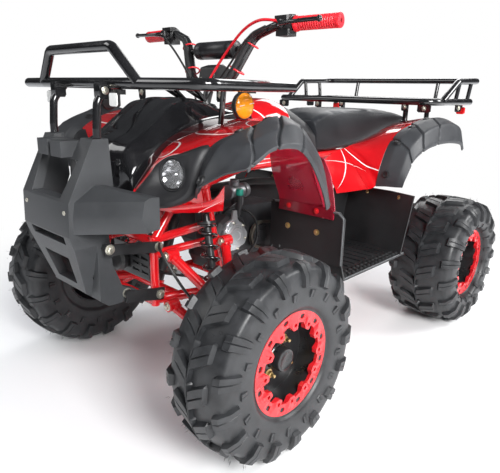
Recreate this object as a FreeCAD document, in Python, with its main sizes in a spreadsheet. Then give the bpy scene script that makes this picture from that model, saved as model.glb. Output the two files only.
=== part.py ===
import FreeCAD, Part

import math
import os
import re

import Sketcher

# A mid-size utility quad bike. X points to the rider's left, Y to the rear, Z up, in millimetres.
# The origin is on the ground, under the middle of the overall box. Stations along Y are counted
# from the axle that a piece belongs to, or from the point midway between the axles, and all are
# moved by box_shift when a piece is placed.
SIZES = {
    # running gear
    "wheelbase": 1013, "front_track": 796, "rear_track": 736, "box_shift": 37,
    "front_tyre_radius": 238, "front_tyre_width": 185,
    "rear_tyre_radius": 226, "rear_tyre_width": 245,
    "lug_height": 15, "lug_width": 28, "lug_count": 16, "lug_angle": 24,
    "rim_radius": 101, "rim_wall": 4, "disc_offset": 24, "disc_wall": 6,
    "ring_radius": 119, "ring_bore": 80, "ring_wall": 8, "ring_lobes": 12, "lobe_depth": 7,
    "front_ring_inset": 15, "rear_ring_inset": 29, "running_gap": 0.4, "seat_gap": 0.3,
    # axles and steering
    "hub_radius": 26, "flange_radius": 52, "spindle_radius": 10, "kingpin_inset": 98, "kingpin_rise": 44,
    "arm_back": 70, "tie_height": 313, "eye_half": 7, "stem_radius": 13, "stem_foot_y": -3,
    "stem_foot_z": 302, "stem_head_y": 182, "stem_head_z": 800, "pitman_spread": 26, "tie_radius": 6, "tie_dip": 2.6,
    "axle_radius": 15, "carrier_radius": 40, "carrier_half": 56, "arm_pivot_ahead": 360, "arm_pivot_z": 330,
    "sprocket_radius": 84, "sprocket_wall": 7, "sprocket_x": 76, "sprocket_teeth": 26,
    "brake_disc_radius": 84, "brake_disc_wall": 4, "brake_disc_x": 150,
    "drive_radius": 34, "drive_behind": 317, "drive_z": 385, "chain_depth": 8, "chain_width": 11,
    # frame
    "rail_radius": 13, "brace_radius": 11, "rail_x": 108, "rail_z": 290, "rail_drop": 20, "post_ahead": 93,
    "post_top": 462, "tower_behind": 67, "tower_top": 572, "deck_x": 100, "deck_z": 600, "tail_rise": 24,
    "tail_behind": 113, "arm_tube_radius": 12, "arm_boss_radius": 15, "arm_front": -67,
    "upper_arm_rear": 113, "lower_arm_rear": 83,
    "shock_radius": 22, "shock_rod_radius": 11, "shock_eye": 11, "shock_x": 155, "shock_behind": 26,
    "shock_z": 521, "shock_foot_share": 0.67,
    # racks
    "rack_radius": 11.5, "slat_radius": 7, "front_rack_z": 812, "front_rack_half": 367,
    "front_rack_ahead": 160, "front_rack_behind": 165, "hoop_rise": 71, "hoop_half": 201,
    "hoop_top_half": 131, "rear_rack_z": 778, "rear_rack_half": 328, "rear_rack_ahead": 149,
    "rear_rack_behind": 193, "rail_rise": 68,
    # bumper
    "bumper_half": 108, "bumper_wall": 24, "bumper_top": 700, "wing_reach": 262,
    # body panels
    "panel_wall": 4, "flare_wall": 5, "cowl_half": 118, "lamp_x": 200, "lamp_ahead": 78, "lamp_z": 626,
    "lamp_radius": 31, "seat_half": 142, "fender_half": 260, "footwell_half": 385, "footwell_z": 318,
    "footwell_behind_wheel": 62.5, "footwell_ahead_wheel": 74.5, "reflector_radius": 30,
    # handlebar
    "bar_radius": 11, "grip_radius": 17, "grip_length": 118, "bar_half": 364, "pad_radius": 23,
}

doc = FreeCAD.newDocument("QuadBike")
sheet = doc.addObject("Spreadsheet::Sheet", "Sizes")
for row, (alias, value) in enumerate(SIZES.items(), start=1):
    sheet.set(f"A{row}", alias.replace("_", " "))
    sheet.set(f"B{row}", str(value))
    sheet.setAlias(f"B{row}", alias)
doc.recompute()


class Millimetres:
    """The sheet's sizes, read by name."""

    def __getattr__(self, alias):
        return float(sheet.get(alias))


mm = Millimetres()
NODES = []
UP = FreeCAD.Vector(0, 0, 1)
TUBE_SIDES = 8
FRONT_AXLE = -mm.wheelbase / 2
REAR_AXLE = mm.wheelbase / 2
FRONT = "-0.5 * wheelbase"
REAR = "0.5 * wheelbase"
KINGPIN = mm.front_track / 2 - mm.kingpin_inset
DECK_BEND = 327
SHOCK_FOOT = -177
BUMPER_SEAT = -217
TANK_FRONT = 277
ENGINE_FRONT_SEAT = 207
ENGINE_REAR_SEAT = 387


def bound(text):
    """Expression with every size name pointed at its cell on the sheet."""
    return re.sub(r"[a-z_]{3,}", lambda found: "Sizes." + found.group()
                  if found.group() in SIZES else found.group(), text)


def vector(x, y, z):
    return FreeCAD.Vector(x, y, z)


def station(obj, x="0", y="0", z="0"):
    """Place a sub-part at a station, each coordinate tied to the sheet."""
    obj.setExpression("Placement.Base.x", bound(x))
    obj.setExpression("Placement.Base.y", bound(f"{y} + box_shift"))
    obj.setExpression("Placement.Base.z", bound(z))
    return obj


def keep(obj, label):
    """Name a finished sub-part and list it as a node."""
    obj.Label = label
    NODES.append(obj)
    return obj


def feature(label, shape, axle="0"):
    """Sub-part whose shape comes from swept tubes or moulded panels, placed from an axle."""
    obj = doc.addObject("Part::Feature", label)
    obj.Shape = shape
    return keep(station(obj, y=axle), label)


def corner(radius, sides=TUBE_SIDES):
    """Radius over the corners of a flat-sided bar."""
    return radius / math.cos(math.pi / sides)


def mirrored(shape):
    return shape.mirror(vector(0, 0, 0), vector(1, 0, 0))


def pair(shape):
    """A left-hand shape with its mirror image on the right."""
    return Part.makeCompound([shape, mirrored(shape)])


def joined(shapes):
    """One solid from overlapping solids."""
    solid = shapes[0]
    for shape in shapes[1:]:
        solid = solid.fuse(shape)
    return solid.removeSplitter()


def section(points):
    """Closed outline through points."""
    return Part.makePolygon([vector(*point) for point in points] + [vector(*points[0])])


def prism(points, along):
    """Flat outline carried along a vector."""
    return Part.Face(section(points)).extrude(vector(*along))


def closed_solid(faces):
    """Solid inside a closed set of flat faces, its faces pointing outwards."""
    solid = Part.Solid(Part.Shell(faces))
    if solid.Volume < 0:
        solid.reverse()
    return solid


def polygon(centre, across, upward, radius, sides):
    """Corners of a regular polygon; its first flat faces upward, at the radius."""
    corner = radius / math.cos(math.pi / sides)
    turns = [(i + 0.5) * 2 * math.pi / sides for i in range(sides)]
    return [centre + upward * (corner * math.cos(turn)) + across * (corner * math.sin(turn)) for turn in turns]


def flat_sided(rings):
    """Solid through a row of polygons whose sides lie in common planes."""
    faces = []
    for one, two in zip(rings, rings[1:]):
        for i in range(len(one)):
            after = (i + 1) % len(one)
            faces.append(Part.Face(section([one[i], one[after], two[after], two[i]])))
    faces.append(Part.Face(section(rings[0])))
    faces.append(Part.Face(section(rings[-1])))
    return closed_solid(faces)


def side_vectors(run):
    """Two directions square to a run, the second as near to vertical as it can be."""
    reference = vector(1, 0, 0) if abs(run.z) > 0.9 else UP
    across = run.cross(reference).normalize()
    return across, across.cross(run).normalize()


def chorded(points, bend):
    """Centre line with each corner replaced by chords of a tangent arc of the bend radius."""
    path = [points[0]]
    for before, here, after in zip(points, points[1:], points[2:]):
        into = (here - before).normalize()
        out = (after - here).normalize()
        turn = into.getAngle(out)
        reach = min(bend * math.tan(turn / 2), 0.45 * (here - before).Length, 0.45 * (after - here).Length)
        if turn < 0.1 or reach < 1:
            path.append(here)
            continue
        steps = max(1, round(turn / 0.75))
        centre = here + (out - into).normalize() * (reach / math.sin(turn / 2))
        axis = into.cross(out).normalize()
        arm = here - into * reach - centre
        for step in range(steps + 1):
            swing = FreeCAD.Rotation(axis, math.degrees(turn * step / steps))
            path.append(centre + swing.multVec(arm))
    path.append(points[-1])
    return path


def tube(points, radius, bend=0.0, sides=TUBE_SIDES):
    """Tube of flat-sided section along straight runs, mitred at each corner and chord.

    Each ring of corners is the one before it, slid along the run onto the mitre plane that
    halves the turn. A path that ends where it starts makes a closed loop.
    """
    path = chorded([vector(*point) for point in points], bend)
    runs = [(after - here).normalize() for here, after in zip(path, path[1:])]
    loop = (path[0] - path[-1]).Length < 0.01
    mitres = [runs[0]] + [(one + two).normalize() for one, two in zip(runs, runs[1:])] + [runs[-1]]
    if loop:
        mitres[0] = (runs[-1] + runs[0]).normalize()
    across, upward = side_vectors(runs[0])
    ring = polygon(path[0], across, upward, radius, sides)
    rings = [[p + runs[0] * ((path[0] - p).dot(mitres[0]) / runs[0].dot(mitres[0])) for p in ring]]
    for run, place, mitre in zip(runs, path[1:], mitres[1:]):
        rings.append([p + run * ((place - p).dot(mitre) / run.dot(mitre)) for p in rings[-1]])
    if not loop:
        return flat_sided(rings)
    rings[-1] = rings[0]
    faces = []
    for one, two in zip(rings, rings[1:]):
        for i in range(sides):
            after = (i + 1) % sides
            faces.append(Part.Face(section([one[i], one[after], two[after], two[i]])))
    return closed_solid(faces)


def rod(start, end, radius, sides=TUBE_SIDES):
    """Straight bar from one point to another."""
    return tube([start, end], radius, sides=sides)


def turned(start, along, profile, sides):
    """Solid turned about a line, from (distance along, radius) pairs, with flat facets."""
    base = vector(*start)
    run = vector(*along).normalize()
    across, upward = side_vectors(run)
    return flat_sided([polygon(base + run * distance, across, upward, r, sides) for distance, r in profile])


def block(x, y, z):
    """Box between low and high limits on each axis."""
    return Part.makeBox(x[1] - x[0], y[1] - y[0], z[1] - z[0], vector(x[0], y[0], z[0]))


def triangles(one, two, three, four):
    """Two flat faces that fill a twisted quadrilateral."""
    return [Part.Face(section([one, two, three])), Part.Face(section([one, three, four]))]


def between(upper, lower):
    """Closed solid between two grids of points of the same size."""
    rows = len(upper)
    columns = len(upper[0])
    faces = []
    for grid in (upper, lower):
        for i in range(rows - 1):
            for j in range(columns - 1):
                faces += triangles(grid[i][j], grid[i][j + 1], grid[i + 1][j + 1], grid[i + 1][j])
    for i in range(rows - 1):
        for j in (0, columns - 1):
            faces += triangles(upper[i][j], upper[i + 1][j], lower[i + 1][j], lower[i][j])
    for j in range(columns - 1):
        for i in (0, rows - 1):
            faces += triangles(upper[i][j], upper[i][j + 1], lower[i][j + 1], lower[i][j])
    return closed_solid(faces)


def panel(rows, wall, out=UP):
    """Moulded panel through rows of points, thickened by its wall away from the outside."""
    grid = [[vector(*point) for point in row] for row in rows]
    last_row = len(grid) - 1
    last_column = len(grid[0]) - 1
    normals = []
    for i, row in enumerate(grid):
        line = []
        for j in range(len(row)):
            along = grid[min(i + 1, last_row)][j] - grid[max(i - 1, 0)][j]
            across = row[min(j + 1, last_column)] - row[max(j - 1, 0)]
            line.append(along.cross(across).normalize())
        normals.append(line)
    total = sum((normal for line in normals for normal in line), vector(0, 0, 0))
    inward = -wall if total.dot(out) > 0 else wall
    inner = [[point + normal * inward for point, normal in zip(row, line)] for row, line in zip(grid, normals)]
    return between(grid, inner)


def space(rows, low, high):
    """Room between a panel's surface moved by low and the same surface moved by high, both upward."""
    return between([[vector(x, y, z + high) for x, y, z in row] for row in rows],
                   [[vector(x, y, z + low) for x, y, z in row] for row in rows])


def lofted(rings):
    """Solid through closed outlines of equal count, with flat triangles between them."""
    faces = [Part.Face(section(rings[0])), Part.Face(section(rings[-1]))]
    for one, two in zip(rings, rings[1:]):
        for i in range(len(one)):
            after = (i + 1) % len(one)
            faces += triangles(one[i], one[after], two[after], two[i])
    return closed_solid(faces)


def origin_plane(body, role):
    for item in body.Origin.OriginFeatures:
        if item.Role == role:
            return item


def outline(body, plane, name, points, lift="0"):
    """Sketch of a closed outline; every corner's two coordinates are expressions."""
    sketch = body.newObject("Sketcher::SketchObject", name)
    sketch.AttachmentSupport = [(origin_plane(body, plane), "")]
    sketch.MapMode = "FlatFace"
    sketch.setExpression("AttachmentOffset.Base.z", bound(lift))
    count = len(points)
    seeds = [vector(50 * math.cos(2 * math.pi * i / count), 50 * math.sin(2 * math.pi * i / count), 0)
             for i in range(count)]
    for i in range(count):
        sketch.addGeometry(Part.LineSegment(seeds[i], seeds[(i + 1) % count]), False)
    for i in range(count):
        sketch.addConstraint(Sketcher.Constraint("Coincident", i, 2, (i + 1) % count, 1))
    for i, (across, up) in enumerate(points):
        for kind, text in (("DistanceX", across), ("DistanceY", up)):
            index = sketch.addConstraint(Sketcher.Constraint(kind, i, 1, 1.0))
            sketch.setExpression(f"Constraints[{index}]", bound(str(text)))
    return sketch


def facets(radii, sides):
    """Corners round the axis at the given radii in turn, as expressions."""
    corners = []
    for i in range(sides):
        turn = (i + 0.5) * 2 * math.pi / sides
        radius = radii[i % len(radii)]
        corners.append((f"({radius}) * {math.cos(turn):.6f}", f"({radius}) * {math.sin(turn):.6f}"))
    return corners


def padded(body, name, sketch, length, backward=False):
    pad = body.newObject("PartDesign::Pad", name)
    pad.Profile = sketch
    pad.Reversed = backward
    pad.setExpression("Length", bound(length))
    return pad


def pocketed(body, name, sketch):
    """Cut through the whole body, both ways from the sketch."""
    pocket = body.newObject("PartDesign::Pocket", name)
    pocket.Profile = sketch
    pocket.Type = "ThroughAll"
    pocket.Midplane = True
    return pocket


def tyre(radius, width, inset, hand):
    """Knobby tyre about the X axis at the origin, its tread slanting by hand.

    The carcass has one flat to each pair of lugs and a recess that takes the trim ring. A lug
    is its own section, run across the tread, turned about the radial line and repeated.
    """
    sides = int(mm.lug_count)
    crown = radius - mm.lug_height
    bead = width / 2 - inset - mm.ring_wall - mm.seat_gap
    recess = mm.ring_radius + 3
    bulge = recess + 0.3 * (crown - recess)
    stations = [(-bead, recess), (-0.5 * width, bulge), (-0.42 * width, crown), (0.42 * width, crown),
                (0.5 * width, bulge), (bead, recess)]
    across, upward = vector(0, 1, 0), UP
    carcass = flat_sided([polygon(vector(x, 0, 0), across, upward, r, sides) for x, r in stations])
    side = -mm.lug_width / 2
    edge = section([(0.03 * width, side, crown - 3), (0.03 * width, side, radius), (0.36 * width, side, radius),
                    (0.49 * width, side, radius - 36)])
    lug = Part.Face(edge).extrude(vector(0, mm.lug_width, 0))
    lug.rotate(vector(0.25 * width, 0, 0), UP, -hand * mm.lug_angle)
    lugs = []
    for i in range(sides):
        for one in (lug, mirrored(lug)):
            copy = one.copy()
            copy.rotate(vector(0, 0, 0), vector(1, 0, 0), i * 360 / sides)
            lugs.append(copy)
    bore = rod((-width, 0, 0), (width, 0, 0), mm.rim_radius + mm.running_gap, sides)
    return carcass.fuse(lugs).cut(bore)


def rim_half(width, inset):
    """Half the rim's barrel, so that its outer edge carries the trim ring."""
    return f"(0.5 * {width} - {inset} - ring_wall)"


def rim(label, width, inset, hand):
    """Deep steel rim: thin barrel, one disc near the outer side and its hub hole."""
    body = doc.addObject("PartDesign::Body", label)
    half = rim_half(width, inset)
    barrel = outline(body, "YZ_Plane", label + "_barrel", facets(["rim_radius"], 12), f"-{half}")
    padded(body, label + "_barrel_pad", barrel, f"2 * {half}")
    bore = outline(body, "YZ_Plane", label + "_bore", facets(["rim_radius - rim_wall"], 12))
    pocketed(body, label + "_bore_cut", bore)
    disc = outline(body, "YZ_Plane", label + "_disc", facets(["rim_radius - 0.5 * rim_wall"], 12),
                   f"{hand} * disc_offset")
    padded(body, label + "_disc_pad", disc, "disc_wall", backward=hand > 0)
    reach = f"(spindle_radius * {corner(1):.4f} + running_gap) * {corner(1):.4f}"
    hole = outline(body, "YZ_Plane", label + "_hole", facets([reach], TUBE_SIDES))
    pocketed(body, label + "_hole_cut", hole)
    return body


def ring(label, width, inset, hand):
    """Trim ring on the rim's outer edge, with a lobed inner edge."""
    body = doc.addObject("PartDesign::Body", label)
    seat = f"{hand} * {rim_half(width, inset)}"
    lobes = int(mm.ring_lobes)
    blank = outline(body, "YZ_Plane", label + "_blank", facets(["ring_radius"], 2 * lobes), seat)
    padded(body, label + "_blank_pad", blank, "ring_wall", backward=hand < 0)
    inner = outline(body, "YZ_Plane", label + "_inner", facets(["ring_bore", "ring_bore + lobe_depth"], 2 * lobes))
    pocketed(body, label + "_inner_cut", inner)
    return body


def wheel_nodes():
    """Front wheels one by one, rear tyres, rims and rings in pairs on the live axle."""
    front = ("0.5 * front_track", "-0.5 * wheelbase", "front_tyre_radius")
    for side, hand in (("l", 1), ("r", -1)):
        place = (f"{hand} * {front[0]}", front[1], front[2])
        obj = doc.addObject("Part::Feature", "tyre_f" + side)
        obj.Shape = tyre(mm.front_tyre_radius, mm.front_tyre_width, mm.front_ring_inset, hand)
        station(keep(obj, "tyre_f" + side), *place)
        disc = rim("rim_f" + side, "front_tyre_width", "front_ring_inset", hand)
        station(keep(disc, "rim_f" + side), *place)
        trim = ring("ring_f" + side, "front_tyre_width", "front_ring_inset", hand)
        station(keep(trim, "ring_f" + side), *place)
    for kind in ("tyre", "rim", "ring"):
        halves = []
        for side, hand in (("l", 1), ("r", -1)):
            name = f"rear_{kind}_{side}"
            if kind == "tyre":
                half = doc.addObject("Part::Feature", name)
                half.Shape = tyre(mm.rear_tyre_radius, mm.rear_tyre_width, mm.rear_ring_inset, hand)
            elif kind == "rim":
                half = rim(name, "rear_tyre_width", "rear_ring_inset", hand)
            else:
                half = ring(name, "rear_tyre_width", "rear_ring_inset", hand)
            half.setExpression("Placement.Base.x", bound(f"{hand} * 0.5 * rear_track"))
            half.setExpression("Placement.Base.z", bound("rear_tyre_radius"))
            halves.append(half)
        both = doc.addObject("Part::Compound", f"rear_{kind}s")
        both.Links = halves
        station(keep(both, f"rear_{kind}s"), y="0.5 * wheelbase")


def sprocket(x, y, z, radius, teeth, wall):
    """Toothed disc about the X axis."""
    corners = []
    pitch = 2 * math.pi / teeth
    for i in range(teeth):
        for r, share in ((radius - 6, 0), (radius, 0.5)):
            turn = (i + share) * pitch
            corners.append((x, y + r * math.sin(turn), z + r * math.cos(turn)))
    return prism(corners, (wall, 0, 0))


def rear_axle():
    """Live axle with its chain sprocket, brake disc and wheel hubs, turning as one."""
    z = mm.rear_tyre_radius
    hub = mm.rear_track / 2 + mm.disc_offset - mm.disc_wall - mm.running_gap
    nut = hub + mm.disc_wall + 2 * mm.running_gap
    pieces = [rod((-nut - 12, 0, z), (nut + 12, 0, z), mm.spindle_radius),
              rod((-hub, 0, z), (hub, 0, z), mm.axle_radius)]
    for side in (1, -1):
        pieces.append(rod((side * (hub - 44), 0, z), (side * hub, 0, z), mm.hub_radius))
        pieces.append(rod((side * (hub - 8), 0, z), (side * hub, 0, z), mm.flange_radius, 12))
        pieces.append(rod((side * nut, 0, z), (side * (nut + 16), 0, z), 24))
    pieces.append(sprocket(mm.sprocket_x, 0, z, mm.sprocket_radius, int(mm.sprocket_teeth), mm.sprocket_wall))
    pieces.append(rod((mm.carrier_half + mm.running_gap, 0, z), (mm.sprocket_x, 0, z), 34))
    disc = -mm.brake_disc_x
    pieces.append(rod((disc, 0, z), (disc + mm.brake_disc_wall, 0, z), mm.brake_disc_radius, 16))
    pieces.append(rod((disc + mm.brake_disc_wall, 0, z), (disc + 24, 0, z), 34))
    feature("rear_axle", joined(pieces), REAR)


def swing_height(y):
    """Height of the rear arm's legs at a station behind the rear axle."""
    share = (y + mm.arm_pivot_ahead) / (mm.arm_pivot_ahead - 30)
    return mm.arm_pivot_z + share * (mm.rear_tyre_radius + 8 - mm.arm_pivot_z)


def swingarm():
    """Rear arm: pivot tube, two legs, a carrier round the axle and the shock's cross tube."""
    z = mm.rear_tyre_radius
    pivot = (-mm.arm_pivot_ahead, mm.arm_pivot_z)
    reach = mm.deck_x - corner(mm.brace_radius, 6) - mm.seat_gap
    pieces = [rod((-reach, *pivot), (reach, *pivot), 16)]
    for x in (-42, 42):
        pieces.append(rod((x, *pivot), (x, -30, swing_height(-30)), 12, 6))
    foot = SHOCK_FOOT
    pieces.append(rod((-42, foot, swing_height(foot)), (42, foot, swing_height(foot)), mm.brace_radius, 6))
    pieces.append(rod((-mm.carrier_half, 0, z), (mm.carrier_half, 0, z), mm.carrier_radius, 12))
    bore = rod((-90, 0, z), (90, 0, z), corner(mm.axle_radius) + mm.running_gap)
    feature("swingarm", joined(pieces).cut(bore), REAR)


def coil_over(top, bottom, radius):
    """Spring and damper between two points: plain ends and a row of coils."""
    start = vector(*top)
    run = vector(*bottom) - start
    length = run.Length
    coils = 7
    rod_radius = mm.shock_rod_radius
    profile = [(0, rod_radius - 2), (0.14 * length, rod_radius - 2)]
    pitch = 0.7 * length / coils
    for i in range(coils):
        at = 0.15 * length + i * pitch
        profile += [(at, radius), (at + 0.6 * pitch, rod_radius + 3)]
    profile += [(0.87 * length, radius - 3), (length, rod_radius)]
    return turned(tuple(start), tuple(run), profile, 6)


def shock_nodes():
    """Front coil-overs between the towers and the lower arms, and the single rear one."""
    eye = mm.shock_eye
    seat = mm.brace_radius - 1 + mm.seat_gap + eye
    low = lower_cross()
    bottom = (low[0], low[1], low[2] + seat)
    top = (mm.shock_x + 4, mm.shock_behind, mm.shock_z)
    pieces = [coil_over(top, bottom, mm.shock_radius),
              rod((mm.shock_x - 7 + mm.seat_gap, *top[1:]), (mm.shock_x + 16, *top[1:]), eye),
              rod((bottom[0], bottom[1] - 14, bottom[2]), (bottom[0], bottom[1] + 14, bottom[2]), eye)]
    feature("front_shocks", pair(joined(pieces)), FRONT)
    z_top = deck_height(REAR_AXLE - DECK_BEND) - mm.brace_radius - mm.seat_gap - eye
    z_low = swing_height(SHOCK_FOOT) + mm.brace_radius + mm.seat_gap + eye
    ends = ((-DECK_BEND, z_top), (SHOCK_FOOT, z_low))
    pieces = [coil_over((0, *ends[0]), (0, *ends[1]), mm.shock_radius + 4)]
    pieces += [rod((-20, *end), (20, *end), eye) for end in ends]
    feature("rear_shock", joined(pieces), REAR)


def chain():
    """Drive chain as one loop round both sprockets."""
    x = mm.sprocket_x + (mm.sprocket_wall - mm.chain_width) / 2
    front = (FRONT_AXLE + mm.drive_behind, mm.drive_z, mm.drive_radius + mm.seat_gap)
    rear = (REAR_AXLE, mm.rear_tyre_radius, mm.sprocket_radius + 2 * mm.running_gap)
    dy = rear[0] - front[0]
    dz = rear[1] - front[1]
    slope = math.atan2(dz, dy)
    lean = math.degrees(math.asin((rear[2] - front[2]) / math.hypot(dy, dz)))
    loops = []
    for extra in (mm.chain_depth, 0):
        corners = []
        for (y, z, r), first, last in ((front, 90 + lean, 270 - lean), (rear, -90 - lean, 90 + lean)):
            steps = 10
            for step in range(steps + 1):
                turn = slope + math.radians(first + (last - first) * step / steps)
                reach = (r + extra) / math.cos(math.radians((last - first) / steps / 2))
                corners.append((x, y + reach * math.cos(turn), z + reach * math.sin(turn)))
        loops.append(prism(corners, (mm.chain_width, 0, 0)))
    feature("chain", loops[0].cut(loops[1]))


def knuckle_nodes():
    """Knuckles with kingpin boss, spindle, hub flange and steering arm."""
    z = mm.front_tyre_radius
    face = mm.front_track / 2 + mm.disc_offset - mm.disc_wall - mm.running_gap
    nut = face + mm.disc_wall + 2 * mm.running_gap
    boss = mm.kingpin_rise - 11 - mm.running_gap
    eye = mm.tie_height - mm.eye_half - mm.tie_dip
    for side, label in ((1, "knuckle_l"), (-1, "knuckle_r")):
        x = side * KINGPIN
        pieces = [rod((x, 0, z - boss), (x, 0, z + boss), 17),
                  rod((x, 0, z), (side * face, 0, z), mm.hub_radius),
                  rod((side * (face - 8), 0, z), (side * face, 0, z), mm.flange_radius, 12),
                  rod((side * (face - 8), 0, z), (side * (nut + 12), 0, z), mm.spindle_radius),
                  rod((side * nut, 0, z), (side * (nut + 16), 0, z), 24),
                  rod((x, 0, z + 14), (x, mm.arm_back, eye - 19), 8, 6),
                  rod((x, mm.arm_back, eye - 28), (x, mm.arm_back, eye), 12, 6)]
        feature(label, joined(pieces), FRONT)


def tie_rod_nodes():
    """Tie rods; each inner eye lies square to the stem and each outer eye square to the kingpin."""
    y = mm.arm_back
    z = mm.tie_height
    stem = stem_direction() * mm.eye_half
    for side, label in ((1, "tie_rod_l"), (-1, "tie_rod_r")):
        inner = vector(side * mm.pitman_spread, y, z)
        outer = vector(side * KINGPIN, y, z)
        upright = UP * mm.eye_half
        pieces = [rod(tuple(inner), tuple(outer), mm.tie_radius - 1, 6),
                  rod(tuple(inner - stem), tuple(inner + stem), 11, 6),
                  rod(tuple(outer - upright), tuple(outer + upright), 11, 6)]
        feature(label, joined(pieces), FRONT)


def stem_direction():
    return vector(0, mm.stem_head_y - mm.stem_foot_y, mm.stem_head_z - mm.stem_foot_z).normalize()


def bar_end(x):
    """Point on the straight outer run of the handlebar."""
    share = (x - 196) / (mm.bar_half - 196)
    return (x, 233 + 22 * share, 958 + 2 * share)


def sleeve(start, end, radius, bore):
    """Ring-shaped piece on the handlebar's outer run."""
    outer = rod(bar_end(start), bar_end(end), radius)
    return outer.cut(rod(bar_end(start - 5), bar_end(min(end + 5, mm.bar_half)), bore))


def steering_nodes():
    """Raked stem with pitman plate, handlebar, pad, grips, levers and dash box."""
    along = stem_direction()
    foot = vector(0, mm.stem_foot_y, mm.stem_foot_z)
    head = vector(0, mm.stem_head_y, mm.stem_head_z)
    down = mm.eye_half + mm.running_gap
    eye = vector(0, mm.arm_back, mm.tie_height) - along * down
    middle = foot + along * (eye - foot).dot(along)
    back = (eye - middle).normalize()
    plate = [middle - back * 18, eye + back * 15, eye + back * 15 - along * 7, middle - back * 18 - along * 7]
    plate = prism([(-40, point.y, point.z) for point in plate], (80, 0, 0))
    feature("steering_stem", joined([rod(tuple(foot), tuple(head), mm.stem_radius, 12), plate]), FRONT)
    top = head + along * (mm.bar_radius + 4 + mm.seat_gap)
    clamp_top = top.z + 16
    half = [(36, top.y, top.z), (79, 193, 832), (130, 223, 935), (196, 233, 958), (mm.bar_half, 255, 960)]
    path = [(-x, y, z) for x, y, z in half[::-1]] + half
    bars = [tube(path, mm.bar_radius, 40), rod((-112, 213, 905), (112, 213, 905), 8, 6)]
    bars.append(block((-34, 34), (top.y - 18, top.y + 18), (mm.stem_head_z + 5 + mm.seat_gap, clamp_top)))
    feature("handlebar", joined(bars), FRONT)
    pad = rod((-76, 213, 905), (76, 213, 905), mm.pad_radius)
    feature("bar_pad", pad.cut(rod((-90, 213, 905), (90, 213, 905), 8 + mm.running_gap, 6)), FRONT)
    bore = mm.bar_radius + mm.running_gap
    feature("grips", pair(sleeve(mm.bar_half - mm.grip_length, mm.bar_half + 3, mm.grip_radius, bore)), FRONT)
    perch = bar_end(218)
    blade = [(perch[0], perch[1] - 17, perch[2]), (perch[0] + 14, perch[1] - 44, perch[2] - 2),
             (perch[0] + 60, perch[1] - 52, perch[2] - 2), (mm.bar_half - 14, perch[1] - 34, perch[2])]
    lever = joined([sleeve(206, 236, 18, bore), tube(blade, 5, 20, 4),
                    block((perch[0] - 12, perch[0] + 14), (perch[1] - 34, perch[1] - 15), (perch[2] - 8, perch[2] + 9))])
    feature("controls", pair(lever), FRONT)
    low = clamp_top + mm.seat_gap
    side = [(-30, 171, low), (-30, 241, low), (-30, 249, low + 22), (-30, 207, low + 38), (-30, 177, low + 30)]
    feature("dash_box", prism(side, (60, 0, 0)), FRONT)


def deck_line():
    """Bends of the frame's top rails behind the towers, as (station, height)."""
    return [(FRONT_AXLE + 207, mm.deck_z), (REAR_AXLE - 507, mm.deck_z + 4),
            (REAR_AXLE - DECK_BEND, mm.deck_z + 6), (REAR_AXLE + mm.tail_behind, mm.deck_z + mm.tail_rise)]


def deck_height(y):
    """Height of the top rails' centre line at a station."""
    points = deck_line()
    for (y_one, z_one), (y_two, z_two) in zip(points, points[1:]):
        if y <= y_two or (y_two, z_two) == points[-1]:
            return z_one + (y - y_one) / (y_two - y_one) * (z_two - z_one)


def rest_height(y):
    """Height at which a body panel or the seat rests on the top rails."""
    return deck_height(y) + mm.rail_radius + 3 * mm.seat_gap


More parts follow.
